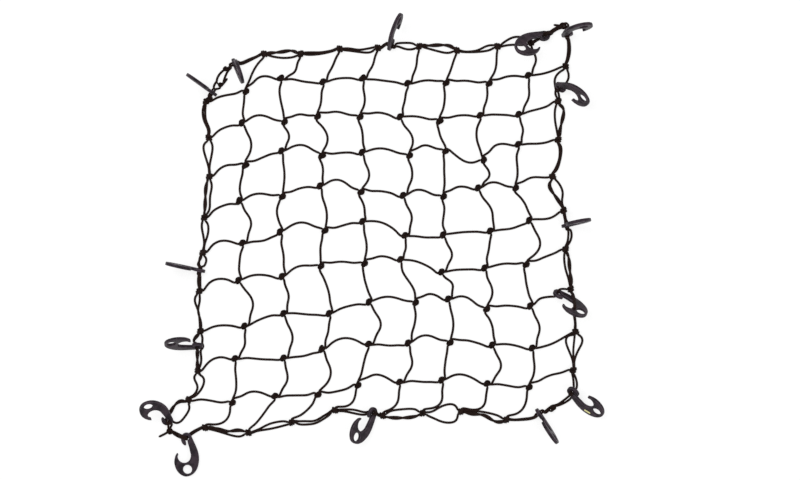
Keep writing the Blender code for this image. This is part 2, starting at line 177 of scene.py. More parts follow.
def span(start, end, early, late, side):
    """Points along a slack span that lies on the floor."""
    along = end - start
    out = turned_left(unit(along)) * side
    rows = []
    for t in SPAN_STOPS:
        rise = BOW_GAIN * (early * t * (1 - t) ** BOW_POWER + late * (1 - t) * t ** BOW_POWER)
        rows.append(start + along * t + out * rise)
    return np.array(rows)


def spans_of(knots, early, late, side):
    """All the spans of one cord, from knot to knot."""
    ways = headings(knots)
    last = len(knots) - 1
    ports = [RIM_KNOT_PORT if k in (0, last) else KNOT_PORT for k in range(last + 1)]
    return [span(knots[k] + ways[k] * ports[k], knots[k + 1] - ways[k + 1] * ports[k + 1],
                 early[k], late[k], side) for k in range(last)]


weft_knots = [np.array(list(zip(WEFT_X[r], WEFT_Y[r])), float) for r in range(WEFTS)]
warp_knots = [np.array([WARP_FOOT[c]]
                       + [(WEFT_X[r][c + 1], WEFT_Y[r][c + 1]) for r in range(WEFTS - 1, -1, -1)]
                       + [WARP_TOP[c]], float) for c in range(WARPS)]
weft_spans = [spans_of(weft_knots[r], WEFT_BOW_EARLY[r], WEFT_BOW_LATE[r], 1) for r in range(WEFTS)]
warp_spans = [spans_of(warp_knots[c], WARP_BOW_EARLY[c], WARP_BOW_LATE[c], -1) for c in range(WARPS)]
print("spans", sum(len(s) for s in weft_spans) + sum(len(s) for s in warp_spans))

# %% [markdown]
# ## Tying the knots
#
# A knot's shape comes from pulling it tight, so that is what is done here. A strand is a chain
# of points. It starts as a loose, roomy knot drawn with a few sines; then its segments shorten
# step by step while three rules hold: neighbours keep their spacing, the strand stays smooth,
# and no two strands come nearer than their thickness. When nothing can shorten any more, the
# knot is tight. It could be drawn by hand instead, but a hand-drawn knot rarely looks pulled.

# %% Pulling a knot tight
CATCH_UP = 0.3                  # the ends reach their places in this share of the rounds
SKIP = 1.5                      # points of one strand push only beyond so many thicknesses along it
WATCH = 1.0                     # pairs with this much room left are watched too
PASSES, PUSH = 8, 0.35          # corrections in a round, and how hard two strands push apart
TAUT = 1.04                     # a strand stretched more than this is tight


def respaced(points, spacing):
    """The same strand with evenly spaced points."""
    steps = np.linalg.norm(np.diff(points[:, :3], axis=0), axis=1)
    reach = np.concatenate([[0], np.cumsum(steps)])
    count = max(int(round(reach[-1] / spacing)) + 1, 3)
    stops = np.linspace(0, reach[-1], count)
    return np.stack([np.interp(stops, reach, points[:, k]) for k in range(points.shape[1])], 1)


def pull_tight(strands, thickness, ends, rounds, shorten=0.9975, stiffness=0.25):
    """Shortens strands until they lock; ends are the places that their ends are held at."""
    P = np.concatenate(strands).astype(float)
    sizes = [len(s) for s in strands]
    first = np.cumsum([0] + sizes)
    count = len(P)
    owner = np.repeat(np.arange(len(sizes)), sizes)
    place = np.concatenate([np.arange(s) for s in sizes])
    spacing = np.array([np.linalg.norm(np.diff(s, axis=0), axis=1).mean() for s in strands])
    thickness = np.array(thickness, float)
    apart = (thickness[owner][:, None] + thickness[owner][None]) / 2
    same = owner[:, None] == owner[None]
    upper = np.arange(count)[:, None] < np.arange(count)[None]
    held = np.array([i for k in range(len(sizes)) for i in (first[k], first[k + 1] - 1)])
    loose, goal = P[held].copy(), np.array(ends, float)
    links = [(np.arange(first[k] + odd, first[k + 1] - 1, 2), k)
             for k in range(len(sizes)) for odd in (0, 1)]
    inner = np.concatenate([np.arange(first[k] + 2, first[k + 1] - 2) for k in range(len(sizes))])
    for turn in range(rounds):
        here = loose + (goal - loose) * min(1, turn / (CATCH_UP * rounds))
        if turn % 5 == 0:
            near = same & (np.abs(place[:, None] - place[None]) * spacing[owner][:, None] < SKIP * apart)
            gaps = ((P[:, None] - P[None]) ** 2).sum(2)
            I, J = np.nonzero(~near & (gaps < (apart + WATCH) ** 2) & upper)
            need = apart[I, J]
        middle = (P[inner - 1] + P[inner + 1]) / 2 - P[inner]
        before = (P[inner - 2] + P[inner]) / 2 - P[inner - 1]
        after = (P[inner] + P[inner + 2]) / 2 - P[inner + 1]
        P[inner] += stiffness * (middle - (before + after) / 2)
        for _ in range(PASSES):
            for a, k in links:
                v = P[a + 1] - P[a]
                long = np.sqrt((v * v).sum(1))[:, None]
                change = v * (0.5 * (long - spacing[k]) / long)
                P[a] += change
                P[a + 1] -= change
            v = P[J] - P[I]
            gap = np.sqrt((v * v).sum(1))
            close = gap < need
            i, j = I[close], J[close]
            push = v[close] * (PUSH * (need[close] - gap[close]) / np.maximum(gap[close], 1e-6))[:, None]
            for axis in range(3):
                P[:, axis] += np.bincount(j, push[:, axis], count) - np.bincount(i, push[:, axis], count)
            P[held] = here
        for k in range(len(sizes)):
            strand = P[first[k]:first[k + 1]]
            if np.linalg.norm(np.diff(strand, axis=0), axis=1).mean() / spacing[k] < TAUT:
                spacing[k] *= shorten
    return [P[first[k]:first[k + 1]] for k in range(len(sizes))]


# %% A doubled overhand knot, still loose
LEG = 22.0                      # the strands are held this far from the middle of a knot
WEAVE, LEG_RISE = 1.3, 0.9      # how high the loose knot weaves, and how high its legs come in
BESIDE = 0.6                    # half the distance of the two strands, in thicknesses


def loose_overhand(thickness, spread, turn=0.0, spacing=1.35):
    """Two strands side by side through one overhand knot, from -x to +x, turned about z."""
    t = np.linspace(math.pi, 3 * math.pi, 1200)
    way = (t - math.pi) / (2 * math.pi)
    weave = -WEAVE * np.sin(3 * t)
    fade = np.clip(1 - np.minimum(way, 1 - way) / 0.06, 0, 1)
    weave = weave + np.where(way < 0.5, LEG_RISE, -LEG_RISE) * fade
    loop = np.stack([np.sin(t) + 2 * np.sin(2 * t), np.cos(t) - 2 * np.cos(2 * t) + 1.0, weave], 1) * spread
    lead_in = np.linspace([-LEG, loop[0, 1], loop[0, 2]], loop[0], 200, endpoint=False)
    lead_out = np.linspace(loop[-1], [LEG, loop[-1, 1], loop[-1, 2]], 201)[1:]
    line = np.concatenate([lead_in, loop, lead_out])
    along = np.gradient(line, axis=0)
    side = np.cross([0, 0, 1.0], along)
    side /= np.linalg.norm(side, axis=1, keepdims=True)
    c, s = math.cos(turn), math.sin(turn)
    about = np.array([[c, s, 0], [-s, c, 0], [0, 0, 1]])
    return [respaced((line + side * sign * thickness * BESIDE) @ about, spacing) for sign in (1, -1)]


# %% [markdown]
# At a crossing the weft enters from the left and leaves to the right, and the warp enters from
# below and leaves above. Tied together, their four legs come out in pairs, so the lump lies
# aslant, as every crossing of the real net does. At a corner of the rim both cords run the
# same way instead.

# %% The net knot and the rim's own knot
NET_CORD = 2.6                  # the cord draws thin where it is pulled tight
RIM_CORD = 2.9
NET_SPREADS, CORNER_SPREAD = (4.2, 4.7), 4.6    # how roomy the loose knots are drawn
PULLS, HITCH_PULLS = 700, 600                   # rounds until nothing moves any more
RIM_LEG = 1.9                                   # the rim cords come in this far from the middle


def centred(strands, reach=8.0):
    """Moves a knot so that the middle of its lump is at the origin in plan."""
    every = np.concatenate(strands)
    middle = np.zeros(3)
    for _ in range(12):
        lump = every[np.linalg.norm(every[:, :2] - middle[:2], axis=1) < reach]
        middle[:2] = lump[:, :2].mean(0)
    return [s - middle for s in strands]


net_knots = []
for spread in NET_SPREADS:
    ends = [(-LEG, 0, 0), (LEG, 0, 0), (0, -LEG, 0), (0, LEG, 0)]
    loose = loose_overhand(NET_CORD, spread, math.radians(45))
    net_knots.append(centred(pull_tight(loose, [NET_CORD] * 2, ends, PULLS)))
ends = [(-LEG, RIM_LEG, 0), (LEG, RIM_LEG, 0), (-LEG, -RIM_LEG, 0), (LEG, -RIM_LEG, 0)]
corner_knot = centred(pull_tight(loose_overhand(RIM_CORD, CORNER_SPREAD), [RIM_CORD] * 2, ends, PULLS))
for knot in net_knots + [corner_knot]:
    every = np.concatenate(knot)
    lump = every[np.linalg.norm(every[:, :2], axis=1) < 6]
    print("lump", np.round(lump.max(0) - lump.min(0) + NET_CORD, 1), "mm")

# %% [markdown]
# Each end of a weft or warp is tied to the rim with a clove hitch: once round both rim cords,
# across itself, once round again, and out under its own crossing. The end is cut off short and
# melted so that the sheath does not fray.

# %% The hitch on the rim
HITCH_CORE, HITCH_CORD = 3.2, 2.9
CORE_OFF = HITCH_CORE * 0.52    # each rim cord lies this far from the middle of the two
HITCH_ROOM = 0.4                # the loose turns stand off the rim cords
HITCH_TAIL = 14.0               # where the loose cut end is held


def loose_hitch(spacing=1.3):
    """The two rim cords along x, and a cord that comes from -y and is hitched round them."""
    out_y = HITCH_CORE + HITCH_CORD / 2 + HITCH_ROOM
    out_z = HITCH_CORE / 2 + HITCH_CORD / 2 + HITCH_ROOM
    angle = np.linspace(0, 5 * math.pi, 1500)
    turn = angle / math.pi
    x = np.interp(turn, [0, 1, 2, 3, 4, 5], np.array([-0.5, -1.0, -1.6, 1.6, 1.0, 0.5]) * HITCH_CORD * 1.1)
    crossing = np.sin(np.clip((turn - 1.8) / 1.4, 0, 1) * math.pi) * HITCH_CORD * 1.15
    wrap = np.stack([x, -(out_y + crossing) * np.cos(angle), (out_z + crossing) * np.sin(angle)], 1)
    lead = np.linspace([wrap[0, 0], -LEG, 0], wrap[0], 150, endpoint=False)
    tail = np.linspace(wrap[-1], [wrap[-1, 0], HITCH_TAIL, 0], 100)[1:]
    rim = [np.linspace([-LEG, y, 0], [LEG, y, 0], int(2 * LEG / spacing)) for y in (CORE_OFF, -CORE_OFF)]
    return rim + [respaced(np.concatenate([lead, wrap, tail]), spacing)]


ends = [(-LEG, CORE_OFF, 0), (LEG, CORE_OFF, 0), (-LEG, -CORE_OFF, 0), (LEG, -CORE_OFF, 0),
        (0, -LEG, 0), (3, HITCH_TAIL, 2)]
hitch = pull_tight(loose_hitch(), [HITCH_CORE, HITCH_CORE, HITCH_CORD], ends, HITCH_PULLS)
print("hitch, wrap", np.round(hitch[2].max(0) - hitch[2].min(0), 1), "mm")

# %% [markdown]
# ## Laying the knots in the net
#
# Each knot is a copy of a tied one, turned to suit the four legs that meet in it, and lowered
# until it rests on the floor. Real knots are tied by hand and no two are alike, so the copies
# also vary: a mirrored knot and one seen from below are still proper overhand knots.

# %% Placing a copy of a knot
chance = random.Random(7)


def angle_of(direction):
    return math.atan2(direction[1], direction[0])


def rested(strands, halves, centre, angle):
    """Turns strands about z, moves them to a plan centre and rests them on the floor."""
    c, s = math.cos(angle), math.sin(angle)
    turn = np.array([[c, -s, 0], [s, c, 0], [0, 0, 1]])
    turned = [strand @ turn.T for strand in strands]
    low = min((strand[:, 2] - half).min() for strand, half in zip(turned, halves))
    return [strand + np.array([centre[0], centre[1], -low]) for strand in turned]


def ways_out(strands, edge=6.5):
    """The directions in which the four legs leave the lump: start and end of each strand."""
    angles = []
    for strand in strands:
        inside = np.flatnonzero(np.linalg.norm(strand[:, :2], axis=1) < edge)
        angles += [angle_of(strand[inside[0]]), angle_of(strand[inside[-1]])]
    return np.array(angles)


def variants(strands):
    """The ways in which the same crossing knot can be tied and turned over."""
    a, b = strands
    for first, second in ((a, b), (b[:, [1, 0, 2]], a[:, [1, 0, 2]])):
        for flip in (1, -1):
            yield [first * [1, 1, flip], second * [1, 1, flip]]


WHIM = 0.5                      # how much chance has a say in which variant is tied
crossings = {}
for r in range(WEFTS):
    for c in range(WARPS):
        centre = weft_knots[r][c + 1]
        up_from = WEFTS - 1 - r               # index of this knot's span below, on the warp
        legs = [weft_spans[r][c][-1], weft_spans[r][c + 1][0], warp_spans[c][up_from][-1],
                warp_spans[c][up_from + 1][0]]
        wanted = np.array([angle_of(place - centre) for place in legs])
        best = (-1, None, 0)
        for knot in net_knots:
            for strands in variants(knot):
                match = np.exp(1j * (wanted - ways_out(strands))).sum()
                score = abs(match) + chance.uniform(0, WHIM)
                if score > best[0]:
                    best = (score, strands, math.atan2(match.imag, match.real))
        crossings[r, c] = rested(best[1], [NET_CORD / 2] * 2, centre, best[2])
print(len(crossings), "crossings tied")

# %% [markdown]
# ## From a line to a braided cord
#
# Every cord is one long tube: a ring of points is carried along the line, and the ring turns
# only as much as the line does, so the braid on it never kinks. A Blender curve with a bevel
# would be quicker to write, but a mesh gives each ring its own thickness and its own place on
# the braid's map: u once round the cord, v along it, both in the same unit.

# %% Smooth lines and tubes
SIDES = 12
ROUND = 2 * math.pi * CORD_HALF


def smooth(stations, fine=0.5):
    """A smooth line through rows of x, y, z, radius, with points close together."""
    P = np.array(stations, float)
    gaps = np.maximum(np.linalg.norm(np.diff(P[:, :3], axis=0), axis=1), 1e-6)
    reach = np.concatenate([[0], np.cumsum(gaps)])
    slope = np.diff(P, axis=0) / gaps[:, None]
    tangent = np.empty_like(P)
    tangent[0], tangent[-1] = slope[0], slope[-1]
    before, after = gaps[:-1, None], gaps[1:, None]
    tangent[1:-1] = (slope[:-1] * after + slope[1:] * before) / (before + after)
    stops = np.linspace(0, reach[-1], int(reach[-1] / fine) + 2)
    k = np.clip(np.searchsorted(reach, stops, side="right") - 1, 0, len(gaps) - 1)
    h = gaps[k][:, None]
    t = ((stops - reach[k]) / gaps[k])[:, None]
    return ((2 * t ** 3 - 3 * t ** 2 + 1) * P[k] + (t ** 3 - 2 * t ** 2 + t) * h * tangent[k]
            + (-2 * t ** 3 + 3 * t ** 2) * P[k + 1] + (t ** 3 - t ** 2) * h * tangent[k + 1])


def thinned(line, longest=3.4, most_turn=0.16):
    """Keeps points close together only where the line bends."""
    steps = np.diff(line[:, :3], axis=0)
    long = np.maximum(np.linalg.norm(steps, axis=1), 1e-9)
    ways = steps / long[:, None]
    bends = np.arccos(np.clip((ways[1:] * ways[:-1]).sum(1), -1, 1))
    cost = long / longest + np.concatenate([[0], bends]) / most_turn
    reach = np.concatenate([[0], np.cumsum(cost)])
    stops = np.linspace(0, reach[-1], int(reach[-1]) + 3)
    return np.stack([np.interp(stops, reach, line[:, k]) for k in range(line.shape[1])], 1)


def ring_frames(points):
    """Two directions across the line at each point, carried along without twist."""
    ways = np.gradient(points, axis=0)
    ways /= np.linalg.norm(ways, axis=1, keepdims=True)
    side = np.cross(ways[0], [0.3, 0.2, 1.0])
    sides = []
    for way in ways:
        side = side - way * side.dot(way)
        side = side / np.linalg.norm(side)
        sides.append(side)
    sides = np.array(sides)
    return sides, np.cross(ways, sides)


def placed(name, data):
    """An object with this mesh, light or camera, in the scene."""
    item = bpy.data.objects.new(name, data)
    bpy.context.scene.collection.objects.link(item)
    return item


def cord_object(name, lines, material):
    """One object of tubes along lines of x, y, z, radius (millimetres), with the braid's map."""
    verts, faces, maps = [], [], []
    for line in lines:
        line = thinned(line)
        points, radii = line[:, :3], line[:, 3]
        sides, ups = ring_frames(points)
        along = np.concatenate([[0], np.cumsum(np.linalg.norm(np.diff(points, axis=0), axis=1))]) / ROUND
        base, count = len(verts), len(points)
        angles = np.arange(SIDES) * 2 * math.pi / SIDES
        ring = (points[:, None] + radii[:, None, None] * (np.cos(angles)[None, :, None] * sides[:, None]
                + np.sin(angles)[None, :, None] * ups[:, None]))
        verts += (ring.reshape(-1, 3) * MM).tolist()
        for i in range(count - 1):
            for j in range(SIDES):
                n = (j + 1) % SIDES
                a, b = base + i * SIDES, base + (i + 1) * SIDES
                faces.append((a + j, a + n, b + n, b + j))
                u, w = j / SIDES, (j + 1) / SIDES
                maps += [(u, along[i]), (w, along[i]), (w, along[i + 1]), (u, along[i + 1])]
        for end, order in ((0, -1), (count - 1, 1)):
            corners = list(range(SIDES))[::order]
            faces.append(tuple(base + end * SIDES + j for j in corners))
            maps += [(j / SIDES, along[end]) for j in corners]
    mesh = bpy.data.meshes.new(name)
    mesh.from_pydata(verts, [], faces)
    layer = mesh.uv_layers.new(name="braid")
    layer.data.foreach_set("uv", [value for pair in maps for value in pair])
    mesh.shade_smooth()
    mesh.materials.append(material)
    return placed(name, mesh)


# %% [markdown]
# ## The braided sheath
#
# Shock cord is a rubber core in a braided polyester sheath. Two sets of yarn bundles run round
# it as opposite screws and pass over and under each other, which leaves a pattern of small
# lozenges. The material draws it with arithmetic on the cord's map: the sum and the difference
# of u and v run along the two screws, their whole parts say which bundle is on top, and their
# fractions give each bundle its rounded back and its fine parallel yarns.

# %% Small helpers for materials
class Nodes:
    """Builds a material's nodes with fewer words."""

    def __init__(self, name):
        self.material = bpy.data.materials.new(name)
        self.material.use_nodes = True
        self.tree = self.material.node_tree
        self.shader = self.tree.nodes["Principled BSDF"]

    def add(self, kind, **settings):
        node = self.tree.nodes.new(kind)
        for key, value in settings.items():
            setattr(node, key, value)
        return node

    def join(self, source, target):
        self.tree.links.new(source, target)

    def fix(self, constants):
        """Sets the shader's own constants by the names of their sockets."""
        for name, value in constants.items():
            self.shader.inputs[name].default_value = value

    def feed(self, socket, value):
        if hasattr(value, "is_output"):
            self.join(value, socket)
        else:
            socket.default_value = value

    def math(self, operation, *values):
        node = self.add("ShaderNodeMath", operation=operation)
        for socket, value in zip(node.inputs, values):
            self.feed(socket, value)
        return node.outputs[0]

    def noise(self, where, scale, detail=3.0, rough=0.55):
        node = self.add("ShaderNodeTexNoise")
        self.join(where, node.inputs["Vector"])
        node.inputs["Scale"].default_value = scale
        node.inputs["Detail"].default_value = detail
        node.inputs["Roughness"].default_value = rough
        return node.outputs["Fac"]

    def spread(self, value, low, high, to_low, to_high):
        node = self.add("ShaderNodeMapRange", clamp=True)
        for key, number in (("From Min", low), ("From Max", high), ("To Min", to_low), ("To Max", to_high)):
            node.inputs[key].default_value = number
        self.join(value, node.inputs["Value"])
        return node.outputs["Result"]

    def blend(self, factor, first, second):
        node = self.add("ShaderNodeMix", data_type="RGBA")
        self.feed(node.inputs["Factor"], factor)
        self.feed(node.inputs[6], first)
        self.feed(node.inputs[7], second)
        return node.outputs[2]

    def bump(self, height, distance, strength, below=None):
        node = self.add("ShaderNodeBump")
        node.inputs["Distance"].default_value = distance
        node.inputs["Strength"].default_value = strength
        self.join(height, node.inputs["Height"])
        if below:
            self.join(below, node.inputs["Normal"])
        return node.outputs["Normal"]


# %% Braided elastic cord
LOZENGES = 10                 # round the cord


def braided_cord(name, deep, worn_and_highlit):
    n = Nodes(name)
    place = n.add("ShaderNodeTexCoord").outputs["Object"]
    uv = n.add("ShaderNodeUVMap", uv_map="braid").outputs["UV"]
    split = n.add("ShaderNodeSeparateXYZ")
    n.join(uv, split.inputs[0])
    u, v = split.outputs["X"], split.outputs["Y"]
    right = n.math("MULTIPLY", n.math("ADD", u, v), float(LOZENGES))
    left = n.math("MULTIPLY", n.math("SUBTRACT", u, v), float(LOZENGES))
    right_part, left_part = n.math("FRACT", right), n.math("FRACT", left)
    whole = n.math("ADD", n.math("FLOOR", right), n.math("FLOOR", left))
    over = n.math("MODULO", n.math("ABSOLUTE", whole), 2.0)
    backs = [n.math("SINE", n.math("MULTIPLY", part, math.pi)) for part in (right_part, left_part)]
    flat_backs = [n.math("POWER", back, 0.35) for back in backs]
    waves = [n.math("SINE", n.math("MULTIPLY", part, 3 * math.pi)) for part in (right_part, left_part)]
    yarns = [n.math("MULTIPLY", n.math("ABSOLUTE", wave), 0.22) for wave in waves]
    across_right = n.math("ADD", n.math("MULTIPLY", backs[0], flat_backs[1]), yarns[0])
    across_left = n.math("ADD", n.math("MULTIPLY", backs[1], flat_backs[0]), yarns[1])
    height = n.math("ADD", n.math("MULTIPLY", across_right, over),
                    n.math("MULTIPLY", across_left, n.math("SUBTRACT", 1.0, over)))
    # faded patches along the cord, which also make the painted highlight on the bundles' backs stronger or
    # weaker
    wear_and_highlight_mask = n.spread(n.noise(place, 26.0, 4.0), 0.45, 0.75, 0.0, 1.0)
    fuzz = n.noise(place, 1800.0, 2.0)
    # the raised backs of the bundles are painted lighter than the hollows between them: a painted highlight
    tone = n.math("MULTIPLY", height, n.math("ADD", 0.45, n.math("MULTIPLY", wear_and_highlight_mask, 0.55)))
    tone = n.math("MULTIPLY", tone, n.math("ADD", 0.7, n.math("MULTIPLY", fuzz, 0.6)))
    n.join(n.blend(tone, deep, worn_and_highlit), n.shader.inputs["Base Color"])
    n.join(n.spread(height, 0.0, 1.2, 0.92, 0.62), n.shader.inputs["Roughness"])
    n.join(n.bump(height, 0.00035, 0.8), n.shader.inputs["Normal"])
    n.fix({"Sheen Weight": 0.03, "Sheen Roughness": 0.5, "Sheen Tint": (0.5, 0.4, 0.36, 1),
           "Specular IOR Level": 0.12})
    return n.material


# the first colour is the dark cord; the second is the faded cord and also the painted highlight on the
# braid's ridges
cord_cloth = braided_cord("braided elastic cord", (0.0062, 0.0023, 0.0016, 1), (0.024, 0.0100, 0.0072, 1))
print("lozenge", round(ROUND / LOZENGES, 2), "mm")

# %% [markdown]
# ## The wefts and the warps
#
# A cord is laid as one line from its melted end, through the hitch, along a span, through a
# knot, along the next span and so on to the other end. It is thin inside a knot, where it is
# stretched, and has its full thickness again a finger's width away.

# %% The rim's stops, in clockwise order
# L and R: left and right ends of the wefts; T and F: top and foot of the warps; H: hooks;
# C: corner knots; K: where both rim cords touch
CORNERS = {"bottom_left": (-407, -372), "top_left": (-306, 320), "top_right": (381, 438),
           "bottom_right": (357, -326)}
TOUCH = (-294, 351)
RIM_STOPS = ("C bottom_left, H 13, L 9, L 8, H 14, L 7, L 6, H 15, L 5, L 4, L 3, L 2, L 1, H 1, C top_left, "
             "K 1, H 2, T 1, T 2, T 3, T 4, H 3, T 5, T 6, T 7, T 8, H 4, C top_right, H 5, R 1, H 6, R 2, "
             "R 3, R 4, R 5, H 7, R 6, R 7, R 8, R 9, H 9, C bottom_right, H 10, F 8, F 7, F 6, F 5, H 11, "
             "F 4, F 3, F 2, F 1, H 12").split(", ")
# columns: eye x, eye y, heading, roll onto its edge, pitch (degrees), side of the opening,
# height of its lowest point
HOOKS = (
    (-322, 304.5, 144, 88, 46, 1, 0),
    (-277.5, 362, -58.5, 105, 63, 1, 0),
    (34.5, 398.5, 73, -78, 38, 1, 0),
    (342, 418, -150, 24, 31, -1, 0),
    (386, 420, 25, -72, 57, 1, 0),
    (371.5, 315.5, -28, -57, 35, 1, 0),
    (386, 39, 18, 99, 62, 1, 0),
    (369, -97, -41, 50.5, 29, 1, 4.2),
    (396.5, -292, -38, 50, 1, -1, 0),
    (331, -336, -60, 81, 32, 1, 0),
    (-1.5, -334.5, -126, 41, 26, 1, 0),
    (-373.5, -385.5, -89.5, 0, -3.4, 1, 0),
    (-410.5, -350.8, 141, -22, 41, -1, 0),
    (-351, -202, 170, 59, 38, 1, 0),
    (-346.5, -50.5, 168, 92, 32, 1, 0),
)


def plan_place(stop):
    """Where a stop of the rim is, in plan."""
    kind, name = stop.split()
    if kind == "C":
        return np.array(CORNERS[name], float)
    if kind == "K":
        return np.array(TOUCH, float)
    number = int(name) - 1
    if kind == "H":
        return np.array(HOOKS[number][:2], float)
    if kind in "LR":
        return weft_knots[number][0 if kind == "L" else -1]
    return warp_knots[number][0 if kind == "F" else -1]


rim_places = [plan_place(stop) for stop in RIM_STOPS]


def next_place(k):
    return rim_places[(k + 1) % len(rim_places)]


rim_ways = [unit(next_place(k) - rim_places[k - 1]) for k in range(len(rim_places))]
print(len(RIM_STOPS), "stops on the rim")

# %% [markdown]
# ## The hooks
#
# A hook is one flat moulding of nylon: a curled eye that clips over the rim cords, a curved
# shank, a deep throat that catches the rack, and a hole in the bend to pull it by. It is drawn
# as an outline and given its thickness, with every edge rolled over by a small radius, because
# no moulding leaves its tool with a knife edge. The parting line of the two mould halves runs
# round the middle of its edge.

# %% The outline of a hook
HOOK_THICK = 6.6
HEAD_RADIUS, EYE_RADIUS = 10.9, 4.9
THROAT_CENTRE, THROAT_RADIUS = (-5.1, -37.0), 13.0
PULL_HOLE_CENTRE, PULL_HOLE_RADIUS = (1.4, -62.9), 9.0
# outer edge of the shank and bend, from the head round to the point
SHANK_OUTER = ((18.5, -16.0), (22.6, -27.4), (24.6, -40.2), (23.6, -51.7), (20.0, -62.9), (13.0, -71.8),
               (5.5, -76.0), (-2.6, -77.2), (-12.1, -73.3), (-19.8, -65.0), (-23.6, -56.1), (-24.9, -47.8),
               (-23.9, -40.2), (-21.7, -33.8), (-18.5, -30.0))
POINT_INNER = ((-16.9, -32.5),)
SHANK_INNER = ((8.3, -34.0), (7.0, -27.4), (4.5, -16.0), (2.6, -9.6))
CURL_TIP = ((-2.0, -5.6), (-1.0, -9.0), (-1.6, -14.6), (-3.4, -14.6), (-7.4, -11.6), (-10.2, -6.4))


def arc(centre, radius, start, end, steps):
    angles = np.radians(np.linspace(start, end, steps + 1))
    return np.column_stack([centre[0] + radius * np.cos(angles), centre[1] + radius * np.sin(angles)])


def hook_outline():
    """The edge of the hook, once round, as a smooth closed line."""
    corners = np.vstack([arc((0, 0), HEAD_RADIUS, 180, 10, 9), SHANK_OUTER, POINT_INNER,
                         arc(THROAT_CENTRE, THROAT_RADIUS, 180, 345, 9), SHANK_INNER,
                         arc((0, 0), EYE_RADIUS, -58, 240, 11), CURL_TIP])
    rows = np.column_stack([corners, np.zeros((len(corners), 2))])
    around = smooth(np.vstack([rows[-3:], rows, rows[:3]]), 0.3)
    # keep one turn: from the first corner to the same corner again
    first = np.argmin(np.linalg.norm(around[:len(around) // 2, :2] - corners[0], axis=1))
    last = len(around) // 2 + np.argmin(np.linalg.norm(around[len(around) // 2:, :2] - corners[0], axis=1))
    return thinned(around[first:last + 1], 4.0, 0.22)[:-1, :2]


def outward(loop):
    """The outward direction at each point of a closed loop, and how sharply it turns there."""
    ahead = np.roll(loop, -1, 0) - loop
    behind = loop - np.roll(loop, 1, 0)
    area = (loop[:, 0] * np.roll(loop[:, 1], -1) - np.roll(loop[:, 0], -1) * loop[:, 1]).sum()
    a = ahead / np.linalg.norm(ahead, axis=1, keepdims=True)
    b = behind / np.linalg.norm(behind, axis=1, keepdims=True)
    way = a + b
    way /= np.linalg.norm(way, axis=1, keepdims=True)
    out = np.column_stack([way[:, 1], -way[:, 0]]) * np.sign(area)
    turn = np.arctan2(b[:, 0] * a[:, 1] - b[:, 1] * a[:, 0], (a * b).sum(1)) * np.sign(area)
    length = (np.linalg.norm(ahead, axis=1) + np.linalg.norm(behind, axis=1)) / 2
    radius = length / np.maximum(turn, 1e-3)
    return out, radius


# %% The hook's moulding
# columns: how far the section draws in from the outline, height above the middle, and wear, which also paints
# a highlight on the rolled edges
EDGE_PROFILE = ((1.25, 3.3, 0.1), (0.85, 3.24, 0.6), (0.42, 3.02, 1.0), (0.14, 2.68, 0.8), (0.0, 2.2, 0.2),
                (0.0, 0.22, 0.0), (-0.13, 0.1, 0.3), (-0.13, -0.1, 0.3), (0.0, -0.22, 0.0), (0.0, -2.2, 0.2),
                (0.14, -2.68, 0.8), (0.42, -3.02, 1.0), (0.85, -3.24, 0.6), (1.25, -3.3, 0.1))
FULL_EDGE_RADIUS, LEAST_EDGE = 1.7, 0.25    # in a tighter turn the edge is rounded less


def hook_mesh():
    """The hook's mesh, flat about its own origin in the eye, with edge wear and painted highlight on each
    point.
    """
    outline = hook_outline()
    hole = arc(PULL_HOLE_CENTRE, PULL_HOLE_RADIUS, 0, 360, 40)[:-1]
    mesh = bmesh.new()
    # each point's amount of edge wear, which also paints a highlight where the rolled edges catch the light
    wear_and_highlight_mask = mesh.verts.layers.float.new("wear_and_highlight_mask")
    caps = {0: [], len(EDGE_PROFILE) - 1: []}
    for loop, sign in ((outline, 1), (hole, -1)):
        out, radius = outward(loop)
        share = np.where(sign > 0, np.clip(radius / FULL_EDGE_RADIUS, LEAST_EDGE, 1), 1.0)
        rings = []
        for inset, height, worn_and_highlit in EDGE_PROFILE:
            places = loop - out * (inset * sign * share)[:, None]
            ring = [mesh.verts.new((x * MM, y * MM, height * MM)) for x, y in places]
            for vert in ring:
                vert[wear_and_highlight_mask] = worn_and_highlit
            rings.append(ring)
        for upper, lower in zip(rings, rings[1:]):
            for j in range(len(loop)):
                n = (j + 1) % len(loop)
                mesh.faces.new((upper[j], lower[j], lower[n], upper[n]))
        for level in caps:
            ring = rings[level]
            for j in range(len(ring)):
                edge = mesh.edges.get((ring[j - 1], ring[j]))
                caps[level].append(edge)
    for edges in caps.values():
        bmesh.ops.triangle_fill(mesh, use_beauty=True, use_dissolve=False, edges=edges)
    bmesh.ops.recalc_face_normals(mesh, faces=mesh.faces)
    data = bpy.data.meshes.new("hook_moulding")
    mesh.to_mesh(data)
    mesh.free()
    data.shade_smooth()
    return data


hook_data = hook_mesh()
hook_points = np.array([vert.co for vert in hook_data.vertices]) / MM
print("hook", np.round(hook_points.max(0) - hook_points.min(0), 1), "mm,", len(hook_data.polygons), "faces")


# %% How each hook lies
def hook_pose(x, y, heading, roll, pitch, side, lift):
    """Lays a hook down: heading in plan, rolled onto its shank's edge, point end raised."""
    heading, roll, pitch = (math.radians(angle) for angle in (heading, roll, pitch))
    ahead = np.array([math.cos(heading), math.sin(heading), 0])
    across = np.array([ahead[1], -ahead[0], 0]) * side
    up = np.array([0, 0, 1.0])
    to_bend = ahead * math.cos(pitch) + up * math.sin(pitch)
    lifted = up * math.cos(pitch) - ahead * math.sin(pitch)
    to_opening = across * math.cos(roll) + lifted * math.sin(roll)
    turn = np.column_stack([-to_opening, -to_bend, np.cross(to_opening, to_bend)])
    lowest = (hook_points @ turn.T)[:, 2].min()
    return turn, np.array([x, y, lift - lowest])


